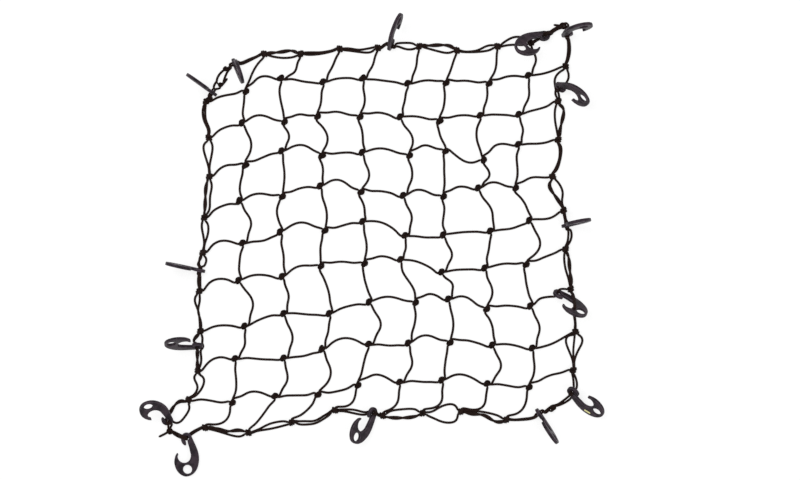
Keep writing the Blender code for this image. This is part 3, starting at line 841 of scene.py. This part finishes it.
hook_poses = [hook_pose(*row) for row in HOOKS]
print("eyes at", [round(float(place[2]), 1) for turn, place in hook_poses], "mm")

# %% The hitches on the rim
HITCH_LONG, HITCH_WIDE = 0.95, 1.05    # along and across the rim; hitches are tied less tightly
TAIL_REACH = 5.2               # the cut end stays this close to the middle of the hitch
HITCH_LEG_REACH = 3.0          # the cord that comes from the net is free from here on
HITCH_HALF = 2.3               # so the hitched cord fills out between its turns


def tied_hitch(stop, way):
    """The two rim cords and the hitched cord at a stop; some hitches are tied the other way."""
    strands = [s * [HITCH_LONG, HITCH_WIDE, HITCH_WIDE] for s in hitch]
    if chance.random() < 0.5:
        strands = [s * [1, 1, -1] for s in strands]
    if chance.random() < 0.5:
        strands = [strands[0][::-1] * [-1, 1, 1], strands[1][::-1] * [-1, 1, 1], strands[2] * [-1, 1, 1]]
    halves = [HITCH_CORE / 2 * HITCH_WIDE] * 2 + [HITCH_HALF]
    return rested(strands, halves, plan_place(stop), angle_of(way) + math.radians(chance.uniform(-6, 6)))


hitches = {}
for stop, way in zip(RIM_STOPS, rim_ways):
    if stop[0] in "LRTF":
        hitches[stop] = tied_hitch(stop, way)
print(len(hitches), "hitches")

# %% Laying one cord
# columns of a row on a cord's line: x, y, z, half thickness, and 1 where a knot or an eye holds it
LUMP_REACH = 6.4              # all of a knot's turns lie this close to its middle
KNOT_REACH = 3.8              # its legs are left free from here on


def held(rows):
    return np.column_stack([rows, np.ones(len(rows))])


def ease(value):
    value = np.clip(value, 0, 1)
    return value * value * (3 - 2 * value)


def knot_rows(strand, centre, tight_half):
    """The stretch of a strand inside a knot, with its thickness; its ends are cut off short."""
    far = np.linalg.norm(strand[:, :2] - np.array(centre)[:2], axis=1)
    inside = np.nonzero(far < LUMP_REACH)[0]
    first, last = inside[0], inside[-1]
    while far[first] > KNOT_REACH and far[first + 1] < far[first]:
        first += 1
    while far[last] > KNOT_REACH and far[last - 1] < far[last]:
        last -= 1
    return held(np.column_stack([strand[first:last + 1], np.full(last + 1 - first, tight_half)]))


FAIR_STEP = 0.8
HELD_FLAG, PINNED = 0.97, 1e3   # a point flagged above this is held, with this weight
THIN_REACH, THICKEN = 4.5, 4.0  # thin to here, and at its full thickness so much further on


def faired(line, stops, free_from, free_to, slack=0.0, firm=1e-3):
    """Lets a cord's own stiffness smooth it between its knots; stops are their plan places.

    Inside a knot or an eye it is held. Beside the knot it is free, and further on it is drawn
    softly to where it was, so its bends spread out as in a spring.
    """
    line = respaced(line, FAIR_STEP)
    fixed = line[:, 4] > HELD_FLAG
    fixed[:3] = fixed[-3:] = True
    gaps = np.array([np.linalg.norm(line[:, :2] - stop, axis=1) for stop in stops])
    far = gaps.min(axis=0)
    far_for_pull = np.minimum(far, np.minimum(gaps[0], gaps[-1]) - slack)
    pull = firm * ease((far_for_pull - free_from) / (free_to - free_from))
    edges = np.flatnonzero(np.diff(fixed.astype(int)))
    for before, after in zip(edges[::2], edges[1::2]):
        low, high = max(before - 1, 0), min(after + 3, len(line))
        count = high - low
        if count < 7:
            continue
        bend = np.zeros((count - 2, count))
        for i in range(count - 2):
            bend[i, i:i + 3] = 1, -2, 1
        weight = pull[low:high].copy()
        weight[:2] = weight[-2:] = PINNED
        stiff = bend.T @ bend + np.diag(weight)
        line[low:high, :3] = np.linalg.solve(stiff, line[low:high, :3] * weight[:, None])
    thick = NET_CORD / 2 + (CORD_HALF - NET_CORD / 2) * ease((far - THIN_REACH) / THICKEN)
    line[~fixed, 3] = np.maximum(line[~fixed, 3], thick[~fixed])
    line[:, 2] = np.maximum(line[:, 2], line[:, 3])
    return line[:, :4]


def floor_rows(points, half=CORD_HALF):
    """Rows of a span on the floor, unless its points are rows already."""
    if points.shape[1] == 5:
        return points
    full = np.full(len(points), half)
    return np.column_stack([points, full, full, 0 * full])


# the end of one weft goes through the eye of a hook before it is hitched
THREADED_WEFT, THREADED_HOOK = 7, 8
EYE_RUN = HOOK_THICK / 2 + 3.2   # a cord runs straight this far from the middle of an eye
EYE_BEARING = 2.0                # a pulled cord bears on the head's side of the eye
EYE_STOPS, EYE_BOW = (0.05, 0.35, 0.68), 6.0    # the threaded span's points, and its bow
FLAT_HOOK = 0.75                 # the axis of an eye is this upright if its hook lies flat


def eye_axis(hook, heading):
    """The direction in which a cord goes through a hook's eye."""
    axis = hook_poses[hook - 1][0][:, 2]
    flat_hook = abs(axis[2]) > FLAT_HOOK
    forward = axis[2] > 0 if flat_hook else axis[:2].dot(heading) > 0
    return axis if forward else -axis


def span_through_eye(points, hook):
    turn, eye = hook_poses[hook - 1]
    centre = eye + turn[:, 1] * EYE_BEARING
    axis = eye_axis(hook, points[-1] - points[0])
    entry = centre - axis * EYE_RUN
    start = points[0]
    on_floor = np.array([start + (entry[:2] - start) * t + [0, EYE_BOW * (1 - t)] for t in EYE_STOPS])
    through = np.array([entry, centre, centre + axis * EYE_RUN])
    return np.vstack([floor_rows(on_floor), held(np.column_stack([through, np.full(3, CORD_HALF)]))])


def melted_end(rows):
    """Closes the last rows of a cord with a small melted bead."""
    way = unit(rows[-1, :3] - rows[-2, :3])
    half = rows[-1, 3]
    bead = [np.concatenate([rows[-1, :3] + way * reach, [half * share], rows[-1, 4:]])
            for reach, share in ((0.7, 1.12), (1.2, 1.1), (1.6, 0.8), (1.75, 0.35))]
    return np.vstack([rows, bead])


def hitched_rows(stop):
    """From the span to the cut end, through the hitch on the rim."""
    strand = hitches[stop][2]
    centre = plan_place(stop)
    far = np.linalg.norm(strand[:, :2] - centre, axis=1)
    start = np.nonzero(far < HITCH_LEG_REACH)[0][0]
    after = len(strand) - 1
    while far[after - 1] > TAIL_REACH:
        after -= 1
    rows = strand[start:after + 1]
    return melted_end(held(np.column_stack([rows, np.full(len(rows), HITCH_HALF)])))


NET_FREE = (4.5, 8.0)         # a cord is free this near a knot, and fully drawn from the second on
RIM_SLACK = 2.0               # a cord is free over a longer stretch where it comes to the rim


def laid_cord(first_stop, last_stop, knots, spans, strands, more_stops=()):
    """One weft or warp, from its cut end at one rim knot to its cut end at the other."""
    rows = [hitched_rows(first_stop)[::-1]]
    for k, points in enumerate(spans):
        rows.append(floor_rows(points))
        if k < len(strands):
            rows.append(knot_rows(strands[k], knots[k + 1], NET_CORD / 2))
    rows.append(hitched_rows(last_stop))
    stops = [*knots[:1], *more_stops, *knots[1:]]
    return faired(smooth(np.vstack(rows)), stops, *NET_FREE, slack=RIM_SLACK)


def length_of(line):
    return np.linalg.norm(np.diff(line[:, :3], axis=0), axis=1).sum() / 1000


def finish_piece(item, slot, *nodes):
    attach(item, BODY)
    if nodes:
        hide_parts(*nodes)


def finish_cord(way, number, line):
    """Makes the piece of one weft or warp."""
    item = cord_object("%s_cord_%d" % (way, number), [line], cord_cloth)
    finish_piece(item, "elastic_cord", "%s_%d" % (way, number))


total = 0.0
for c in range(WARPS):
    strands = [crossings[r, c][1] for r in range(WEFTS - 1, -1, -1)]
    line = laid_cord("F %d" % (c + 1), "T %d" % (c + 1), warp_knots[c], warp_spans[c], strands)
    total += length_of(line)
    finish_cord("warp", c + 1, line)
for r in range(WEFTS):
    strands = [crossings[r, c][0] for c in range(WARPS)]
    spans, more = weft_spans[r], []
    if r == THREADED_WEFT - 1:
        spans = spans[:-1] + [span_through_eye(spans[-1], THREADED_HOOK)]
        more = [hook_poses[THREADED_HOOK - 1][1][:2]]
    line = laid_cord("L %d" % (r + 1), "R %d" % (r + 1), weft_knots[r], spans, strands, more)
    total += length_of(line)
    finish_cord("weft", r + 1, line)
print("wefts and warps, knots included:", round(total, 2), "m of cord")

# %% [markdown]
# ## The doubled rim
#
# Two cords go round the net side by side. Between two stops each of them bows its own way, so
# a table gives their sideways places at three points of every span. In some spans a third
# cord, left over from tying, is twisted round one of the two.

# %% The rim's spans
# columns: outer cord at 0.2, 0.5 and 0.8 of the span after the stop, inner cord at the same;
# millimetres outward from the straight line to the next stop
RIM_SPREAD = {
    "C bottom_left": (0, 0, 1, -3, -8, -6), "H 13": (7, 12, 10, -18, -18, -14),
    "L 9": (-7, -10, 5, -11, -18, -17), "L 8": (1, 1, 1, -5, -7, -5), "H 14": (11, 8, 4, -7, -7, -6),
    "L 7": (1, 3, 10, -2, 4, -1), "L 6": (1, 2, 2, -1, -1, -1), "H 15": (5, 5, 2, -6, -9, -9),
    "L 5": (-2, 1, 5, -2, -8, -8), "L 4": (1, 3, 4, -8, -6, -7), "L 3": (1, 7, 11, 0, -4, -7),
    "L 2": (0, 8, 8, -3, 4, 3), "L 1": (-3, -4, -3, -4, -7, -4), "H 1": (3, 8, 10.5, 0, 0, 0),
    "C top_left": (10.8, 10.2, 6.5, -1.5, -2.8, -3.5), "K 1": (0, 0, 0, -3, -4, -2),
    "H 2": (-2, 0, 0, -5, -3, -1),
    "T 1": (2, 4, 6.5, -5, -8, -6.5), "T 2": (1, -2, -1, -4, -5, -3), "T 3": (1, -3, 0, -3.5, -7, -8.5),
    "T 4": (3, 5, 4, 1, 2, 1), "H 3": (5, 6, 6, 0, -6, -6), "T 5": (3, 6.5, 7.5, -2, -5.5, -7),
    "T 6": (-4, -4, 4, -5, -7, -6), "T 7": (7, 15, 12, 0, 0, -3), "T 8": (1, 2, 1, -1, -1, -1),
    "H 4": (1, 4, 3, -3, 0, 0), "C top_right": (4, 7, 4, 1, 2, 1), "H 5": (6, 8, 5, 3, 4, 2),
    "R 1": (8, 13, 9, -5, -12, -13), "H 6": (0, 0, 0, -6, -8, -5), "R 2": (11, 8, 3, -6, -6, -2),
    "R 3": (9, 10, 7, 5, 8, 3), "R 4": (7, 10, 1, -12, -8, -2), "R 5": (1, 1, 1, -1, -1, -1),
    "H 7": (9, 11, 6, 4, 4, 3), "R 6": (4, 3, 3, -5, -5, -1), "R 7": (4, 2, 2, 2, 0, 1),
    "R 8": (15, 7, 1, -18, -11, -1), "R 9": (4, 8, 10, 0, 2, 3), "H 9": (10, 8, 4, 4, 3, 2),
    "C bottom_right": (3, 5, 3, -2, 2, 1), "H 10": (8, 7, 4, 6, 5, 3), "F 8": (8, -1, 1, -5, -7, -5),
    "F 7": (20, 19, 8, -15, -12, -1), "F 6": (6, 7, 5, -9, -10, -8), "F 5": (1, 2, 1, 0, 0, 0),
    "H 11": (6, 4, 1, 1, -3, -2), "F 4": (8, 15, 10, 3, 10, 3), "F 3": (3, 3, 1, -6, -7, -1),
    "F 2": (10, 7.5, 3, -3, 2.5, -2), "F 1": (-1, -2, -1, -3, -5, -4), "H 12": (4, 4, 2, 0, -1, -1),
}
# spans in which a third cord is twisted round the outer (0) or the inner (1) one
TWISTED = (("T 1", 0), ("T 5", 0), ("L 1", 0), ("L 4", 0), ("H 15", 0), ("H 14", 0), ("L 8", 0),
           ("R 2", 0), ("R 4", 1), ("R 6", 0), ("F 2", 1), ("F 8", 0), ("L 6", 0), ("H 13", 0), ("F 6", 0))
# spans in which a third cord lies straight between the two
FILLED = ("R 8",)
RIM_HALF = 2.25
SHOULDER = 0.8                  # how much of its bow a rim cord has close to a knot
SIDE_BY_SIDE = 2.27             # half the distance of the two cords in the eye of a hook
OVER_REACH, OVER_CLEAR = 15.0, 0.3      # the rim clears a flat hook's head here, by this much
EYE_LEAN = 0.35                 # how much the rim's own way decides which cord is on which side


def sideways(which):
    """How far the outer (0) or the inner (1) cord lies to the left of the middle of the two."""
    return SIDE_BY_SIDE if which == 0 else -SIDE_BY_SIDE


def span_rows(k, offsets):
    """One rim cord on the floor between a stop and the next."""
    start, end = rim_places[k], next_place(k)
    out = turned_left(unit(end - start))
    near, middle, beyond = offsets
    stops = ((0.1, near * SHOULDER), (0.2, near), (0.5, middle), (0.8, beyond), (0.9, beyond * SHOULDER))
    rows = [start + (end - start) * t + out * offset for t, offset in stops]
    return floor_rows(np.array(rows), RIM_HALF)


def eye_rows(k, which):
    """One rim cord through the eye of a hook."""
    hook = int(RIM_STOPS[k].split()[1])
    way = rim_ways[k]
    eye = hook_poses[hook - 1][1]
    axis = eye_axis(hook, way)
    lean = np.append(way * EYE_LEAN + axis[:2], 0)
    side = unit(np.array([lean[1], -lean[0], 0]))
    up = unit(np.cross(side, axis))
    side = unit(np.cross(axis, up))
    middle = eye - side * sideways(which)
    rows = [middle + axis * reach for reach in (-EYE_RUN, 0, EYE_RUN)]
    if abs(axis[2]) > FLAT_HOOK:
        ahead = unit(next_place(k) - rim_places[k])
        over = HOOK_THICK / 2 + OVER_CLEAR - axis[:2].dot(ahead) * OVER_REACH
        beyond = np.append(rim_places[k] + ahead * OVER_REACH - side[:2] * sideways(which),
                           eye[2] + over / axis[2] + RIM_HALF)
        rows.append(beyond)
    return held(np.column_stack([rows, np.full(len(rows), RIM_HALF)]))


# %% The corner knots
# how long and how wide each corner's knot was pulled
CORNER_SIZE = {"bottom_left": (0.86, 0.86), "top_left": (0.64, 0.64), "top_right": (1.35, 0.95),
               "bottom_right": (1.2, 0.84)}


def along_rim(stop, way):
    """A copy of the rim's own knot at a stop."""
    long, wide = CORNER_SIZE[stop[2:]]
    strands = [s * [long, wide, wide] for s in corner_knot]
    return rested(strands, [RIM_CORD / 2 * wide] * 2, plan_place(stop), angle_of(way))


own_knots = {stop: along_rim(stop, way) for stop, way in zip(RIM_STOPS, rim_ways) if stop[0] == "C"}

# at the top left only the inner cord is knotted; the outer one passes outside the knot here
LONE_KNOT = "C top_left"
PAST_LONE_KNOT = ((-314.8, 322.8), (-312.5, 331.0))
# a leftover end tucked round both cords where they touch: x, y, z, half thickness
TUCKED_END = ((-299.5, 349.0, 2.5, 1.9), (-299.0, 353.0, 5.0, 2.0), (-295.5, 355.5, 6.6, 2.0),
              (-293.0, 352.5, 6.8, 2.0), (-294.5, 349.0, 4.5, 1.9), (-296.5, 348.5, 2.5, 1.6))
# hooks that hang on the outer cord only: the way of the inner cord past their eyes
PAST_EYE = {"H 14": ((-342.0, -210.0), (-341.0, -196.0)), "H 6": ((363.2, 321.0), (364.2, 309.0))}


def passes_by(stop, which):
    """Whether this rim cord passes a stop without being held there."""
    return stop[0] == "K" or (stop == LONE_KNOT and which == 0) or (stop in PAST_EYE and which == 1)


def stop_rows(k, which):
    stop = RIM_STOPS[k]
    if stop in PAST_EYE and which == 1:
        return floor_rows(np.array(PAST_EYE[stop]), RIM_HALF)
    if stop[0] == "H":
        return eye_rows(k, which)
    if stop == LONE_KNOT and which == 0:
        return floor_rows(np.array(PAST_LONE_KNOT, float), RIM_HALF)
    if stop[0] == "C":
        return knot_rows(own_knots[stop][which], rim_places[k], RIM_CORD / 2 * CORNER_SIZE[stop[2:]][1])
    if stop[0] == "K":
        side = turned_left(rim_ways[k]) * sideways(which)
        return floor_rows((rim_places[k] + side)[None], RIM_HALF)
    return knot_rows(hitches[stop][which], rim_places[k], HITCH_CORE / 2 * HITCH_WIDE)


# %% Over the shank of a hook
# the rim lies over this hook's shank, on the first part of the span after this stop
OVER_SPAN, OVER_HOOK, OVER_SHARE = "R 7", 8, 0.45
OVER_SLOPE, OVER_GAP = 1.3, 1.0


def nearest(line, place):
    return int(np.argmin(np.linalg.norm(line[:, :2] - place, axis=1)))


def draped_over(line):
    """Raises a rim cord over the shank of the hook that lies under it."""
    k = RIM_STOPS.index(OVER_SPAN)
    start, end = rim_places[k], rim_places[k + 1]
    part = line[nearest(line, start):nearest(line, start + (end - start) * OVER_SHARE)]
    turn, eye = hook_poses[OVER_HOOK - 1]
    hook = hook_points @ turn.T + eye
    below = np.linalg.norm(part[:, None, :2] - hook[None, :, :2], axis=2) < RIM_HALF + OVER_GAP
    tops = np.where(below, hook[None, :, 2], -99.0).max(axis=1) + RIM_HALF + OVER_GAP
    along = np.concatenate([[0], np.cumsum(np.linalg.norm(np.diff(part[:, :2], axis=0), axis=1))])
    drape = (tops[None] - OVER_SLOPE * abs(along[:, None] - along[None])).max(axis=1)
    part[:, 2] = np.maximum(part[:, 2], drape)
    print("the rim rises to", round(float(part[:, 2].max()), 1), "mm over the hook")


# %% Both rim cords, once round
TWIST_PITCH, TWIST_HALF, TWIST_FADE = 60.0, 1.7, 14.0
RIM_FREE, RIM_FIRM = (4.0, 8.0), 5e-4   # where a rim cord is free, and how softly it is drawn
FILLER_END = (4.5, 1.2, 0)      # height, half thickness and flag at the ends of a straight third cord


def rim_cord(which):
    """One rim cord, from the middle of the first corner knot once round to the same place."""
    first = stop_rows(0, which)
    half = len(first) // 2
    rows = [first[half:]]
    for k, stop in enumerate(RIM_STOPS):
        if k:
            rows.append(stop_rows(k, which))
        rows.append(span_rows(k, RIM_SPREAD[stop][3 * which:3 * which + 3]))
    rows.append(first[:half + 2])
    stops = [place for stop, place in zip(RIM_STOPS, rim_places) if not passes_by(stop, which)]
    line = smooth(np.vstack(rows))
    draped_over(line)
    return faired(line, stops, *RIM_FREE, firm=RIM_FIRM)


def twisted_pair(line, k):
    """Turns one span of a rim cord into two cords round each other; returns the second."""
    a = nearest(line, rim_places[k])
    b = nearest(line, next_place(k))
    stretch = line[a:b + 1].copy()
    along = np.concatenate([[0], np.cumsum(np.linalg.norm(np.diff(stretch[:, :3], axis=0), axis=1))])
    amount = ease(along / TWIST_FADE) * ease((along[-1] - along) / TWIST_FADE) * TWIST_HALF
    sides, ups = ring_frames(stretch[:, :3])
    phase = 2 * math.pi * along / TWIST_PITCH + 0.7 * k
    offset = (np.cos(phase)[:, None] * sides + np.sin(phase)[:, None] * ups) * amount[:, None]
    lift = np.column_stack([np.zeros((len(along), 2)), amount])
    second = stretch.copy()
    stretch[:, :3] += offset + lift
    second[:, :3] += lift - offset
    line[a:b + 1] = stretch
    return second


rim_lines = [rim_cord(0), rim_cord(1)]
extra_lines = []
for stop, which in TWISTED:
    extra_lines.append(twisted_pair(rim_lines[which], RIM_STOPS.index(stop)))
for stop in FILLED:
    k = RIM_STOPS.index(stop)
    spread = RIM_SPREAD[stop]
    middle = [(spread[i] + spread[i + 3]) / 2 for i in range(3)]
    ends = [np.append(rim_places[j], FILLER_END) for j in (k, k + 1)]
    extra_lines.append(smooth(np.vstack([ends[0], span_rows(k, middle), ends[1]])))
extra_lines.append(smooth(np.array(TUCKED_END)))
lone = RIM_STOPS.index(LONE_KNOT)
extra_lines.append(smooth(knot_rows(own_knots[LONE_KNOT][0], rim_places[lone],
                                    RIM_CORD / 2 * CORNER_SIZE[LONE_KNOT[2:]][1])))
rim = cord_object("rim_cords", rim_lines + extra_lines, cord_cloth)
finish_piece(rim, "elastic_cord", "rim_left", "rim_top", "rim_right", "rim_bottom")
print("rim", [round(length_of(line), 2) for line in rim_lines], "m")
print("third cords", round(sum(map(length_of, extra_lines)), 2), "m")

# %% [markdown]
# The corner knots hold the cut ends of the rim cords. Each end sticks out a little, stiff where
# it was melted.

# %% The cut ends at the corners
# plan places on the way of each cut end, from inside the lump
TAILS = {
    "bottom_left": ((-409, -373), (-417, -377.5), (-428, -383)),
    "top_left": ((-304, 318), (-299, 324), (-293, 332)),
    "top_right": ((380, 437.5), (371, 438.5), (361.6, 439.8)),
    "bottom_right": ((357, -326), (361, -325), (364, -323.5)),
}
TAIL_HEIGHTS = (5.0, 3.8, CORD_HALF)
BRANCH = ((-313, 325), (-309.5, 320.5), (-306, 315.7))    # a short end between the two cords
BRANCH_HALF = 1.7

for name, places in TAILS.items():
    rows = np.array([(x, y, z, CORD_HALF) for (x, y), z in zip(places, TAIL_HEIGHTS)])
    lines = [melted_end(smooth(rows))]
    if name == LONE_KNOT[2:]:
        lines.append(smooth([(x, y, CORD_HALF, BRANCH_HALF) for x, y in BRANCH]))
    finish_piece(cord_object("rim_end_" + name, lines, cord_cloth), "elastic_cord", "knot_" + name)

# %% [markdown]
# ## Moulded nylon
#
# The hooks are moulded in black nylon, which is never quite black: it is a dark grey with a
# little violet, satin, and a touch lighter on the rolled edges, partly where they have rubbed
# and partly as a painted highlight where they catch the light. The mesh carries that amount on
# its points. A random mottle of lighter and darker tone is partly dust and partly painted
# shading. The grain of the mould is a fine noise in the bump.

# %% The hooks' material
def moulded_nylon(name, deep, dust_and_painted_shading, rubbed_and_highlit):
    n = Nodes(name)
    place = n.add("ShaderNodeTexCoord").outputs["Object"]
    cloud = n.noise(place, 70.0, 2.0)
    grain = n.noise(place, 1500.0, 3.0)
    scuffs = n.noise(place, 160.0, 5.0, 0.7)
    worn_and_highlit = n.add("ShaderNodeAttribute", attribute_name="wear_and_highlight_mask").outputs["Fac"]
    worn_and_highlit = n.math("MULTIPLY", worn_and_highlit, n.spread(scuffs, 0.35, 0.7, 0.15, 1.0))
    # a random mottle, partly dust and partly painted shading, as a slightly crowned face would catch the
    # light unevenly
    tone = n.blend(n.spread(cloud, 0.38, 0.62, 0.0, 1.0), deep, dust_and_painted_shading)
    # the rolled edges turn lighter: partly rubbed wear, partly a painted highlight where they catch the light
    n.join(n.blend(n.math("MULTIPLY", worn_and_highlit, 0.85), tone, rubbed_and_highlit), n.shader.inputs["Base Color"])
    rough = n.spread(scuffs, 0.3, 0.75, 0.36, 0.52)
    n.join(n.math("ADD", rough, n.math("MULTIPLY", grain, 0.08)), n.shader.inputs["Roughness"])
    n.join(n.bump(grain, 0.00012, 0.5), n.shader.inputs["Normal"])
    n.fix({"IOR": 1.53, "Specular IOR Level": 0.19, "Specular Tint": (0.86, 0.86, 1.0, 1)})
    return n.material


# dark body, the mottle's lighter tone, and the edges' colour, which is also their painted highlight
nylon = moulded_nylon("moulded nylon", (0.003, 0.0008, 0.0014, 1), (0.029, 0.0180, 0.0235, 1),
                      (0.100, 0.080, 0.098, 1))
for number, (turn, place) in enumerate(hook_poses, start=1):
    hook = placed("moulded_hook_%02d" % number, hook_data.copy())
    hook.data.materials.append(nylon)
    matrix = Matrix(turn.tolist()).to_4x4()
    matrix.translation = Vector((place * MM).tolist())
    hook.data.transform(matrix)
    finish_piece(hook, "hook_nylon", "hook_%02d" % number)
print(len(hook_poses), "hooks")

# %% [markdown]
# One hook carries a short yellow stroke of paint on its shank, a mark from the moulding shop.
# It is a thin, slightly domed patch just above the nylon.

# %% The yellow mark
MARKED_HOOK = 9
MARK_LONG, MARK_WIDE, MARK_THICK = 14.0, 3.8, 0.15
MARK_SUNK = 0.3                 # its underside is in the nylon, so that no gap shows
MARK_PLAN = (426.8, -332.6)     # where it shows from above
MARK_SLANT = -31.0              # its direction from above


def mark_mesh():
    turn, place = hook_poses[MARKED_HOOK - 1]
    normal = turn[:, 2] if turn[2, 2] > 0 else -turn[:, 2]
    face = place + normal * HOOK_THICK / 2
    spot = np.array([MARK_PLAN[0], MARK_PLAN[1], 0.0])
    spot[2] = face[2] - (normal[:2] @ (spot[:2] - face[:2])) / normal[2]
    slant = math.radians(MARK_SLANT)
    along = np.array([math.cos(slant), math.sin(slant), 0.0])
    along[2] = -(normal[:2] @ along[:2]) / normal[2]
    along = unit(along)
    across = np.cross(normal, along)
    end = MARK_WIDE / 2
    shape = np.vstack([arc((MARK_LONG / 2 - end, 0), end, -90, 90, 12),
                       arc((end - MARK_LONG / 2, 0), end, 90, 270, 12)])
    verts, faces = [], []
    for inset, height in ((0.0, -MARK_SUNK), (0.0, 0.05), (0.25, MARK_THICK)):
        for x, y in shape * (1 - inset / end * np.array([end / MARK_LONG * 2, 1.0])):
            verts.append(((spot + along * x + across * y + normal * height) * MM).tolist())
    count = len(shape)
    for base in (0, count):
        for j in range(count):
            n = (j + 1) % count
            faces.append((base + j, base + n, base + count + n, base + count + j))
    faces.append(tuple(2 * count + j for j in range(count)))
    mesh = bpy.data.meshes.new("paint_mark")
    mesh.from_pydata(verts, [], faces)
    return mesh


def paint(name, colour):
    n = Nodes(name)
    place = n.add("ShaderNodeTexCoord").outputs["Object"]
    thin = n.noise(place, 700.0, 4.0)
    darker = tuple(c * 0.72 for c in colour[:3]) + (1,)
    n.join(n.blend(n.spread(thin, 0.4, 0.7, 0.0, 0.6), colour, darker), n.shader.inputs["Base Color"])
    n.join(n.spread(thin, 0.3, 0.7, 0.35, 0.6), n.shader.inputs["Roughness"])
    n.join(n.bump(thin, 0.0001, 0.4), n.shader.inputs["Normal"])
    return n.material


mark = placed("paint_mark", mark_mesh())
mark.data.materials.append(paint("yellow paint", (0.78, 0.74, 0.34, 1)))
finish_piece(mark, "hook_nylon")

# %% [markdown]
# ## Floor, light and camera
#
# The floor is white and evenly lit, so that the thin dark cords read clearly against it. The
# light comes from a large soft box overhead and from the pale surroundings. The camera looks
# straight down from well above, which keeps the net's outline true.

# %% The floor
def floor_material():
    n = Nodes("studio floor")
    place = n.add("ShaderNodeTexCoord").outputs["Object"]
    cloud = n.noise(place, 3.0, 2.0)
    n.join(n.blend(n.spread(cloud, 0.3, 0.7, 0.0, 1.0), (0.23, 0.23, 0.23, 1), (0.25, 0.25, 0.25, 1)),
           n.shader.inputs["Base Color"])
    n.fix({"Emission Color": (1, 1, 1, 1), "Emission Strength": 0.77, "Roughness": 0.9,
           "Specular IOR Level": 0.1})
    return n.material


floor_mesh = bpy.data.meshes.new("floor")
floor_mesh.from_pydata([(-6, -6, 0), (6, -6, 0), (6, 6, 0), (-6, 6, 0)], [], [(0, 1, 2, 3)])
floor_mesh.materials.append(floor_material())
floor = placed("floor", floor_mesh)

# %% The light
world = bpy.data.worlds.new("pale room")
world.use_nodes = True
world.node_tree.nodes["Background"].inputs["Color"].default_value = (1, 1, 1, 1)
world.node_tree.nodes["Background"].inputs["Strength"].default_value = 0.7
bpy.context.scene.world = world


def soft_box(name, place, size, power, aim=(0, 0, 0)):
    light = bpy.data.lights.new(name, "AREA")
    light.shape = "SQUARE"
    light.size = size
    light.energy = power
    item = placed(name, light)
    item.location = place
    item.rotation_euler = (Vector(aim) - Vector(place)).to_track_quat("-Z", "Y").to_euler()


soft_box("overhead box", (-1.2, 1.0, 3.2), 2.4, 60)
soft_box("side box", (2.2, -1.6, 2.4), 1.8, 24)

# %% The camera
VIEW_HEIGHT, VIEW_WIDE, SENSOR = 6.0, 1.6, 36.0
VIEW_PLAN = (0.053, 0.010)      # the camera stands over this place
camera_data = bpy.data.cameras.new("camera")
camera_data.sensor_width = SENSOR
camera_data.lens = SENSOR * VIEW_HEIGHT / VIEW_WIDE
camera_data.clip_end = 50
camera = placed("camera", camera_data)
camera.location = (*VIEW_PLAN, VIEW_HEIGHT)
bpy.context.scene.camera = camera
bpy.context.scene.view_settings.view_transform = "Standard"
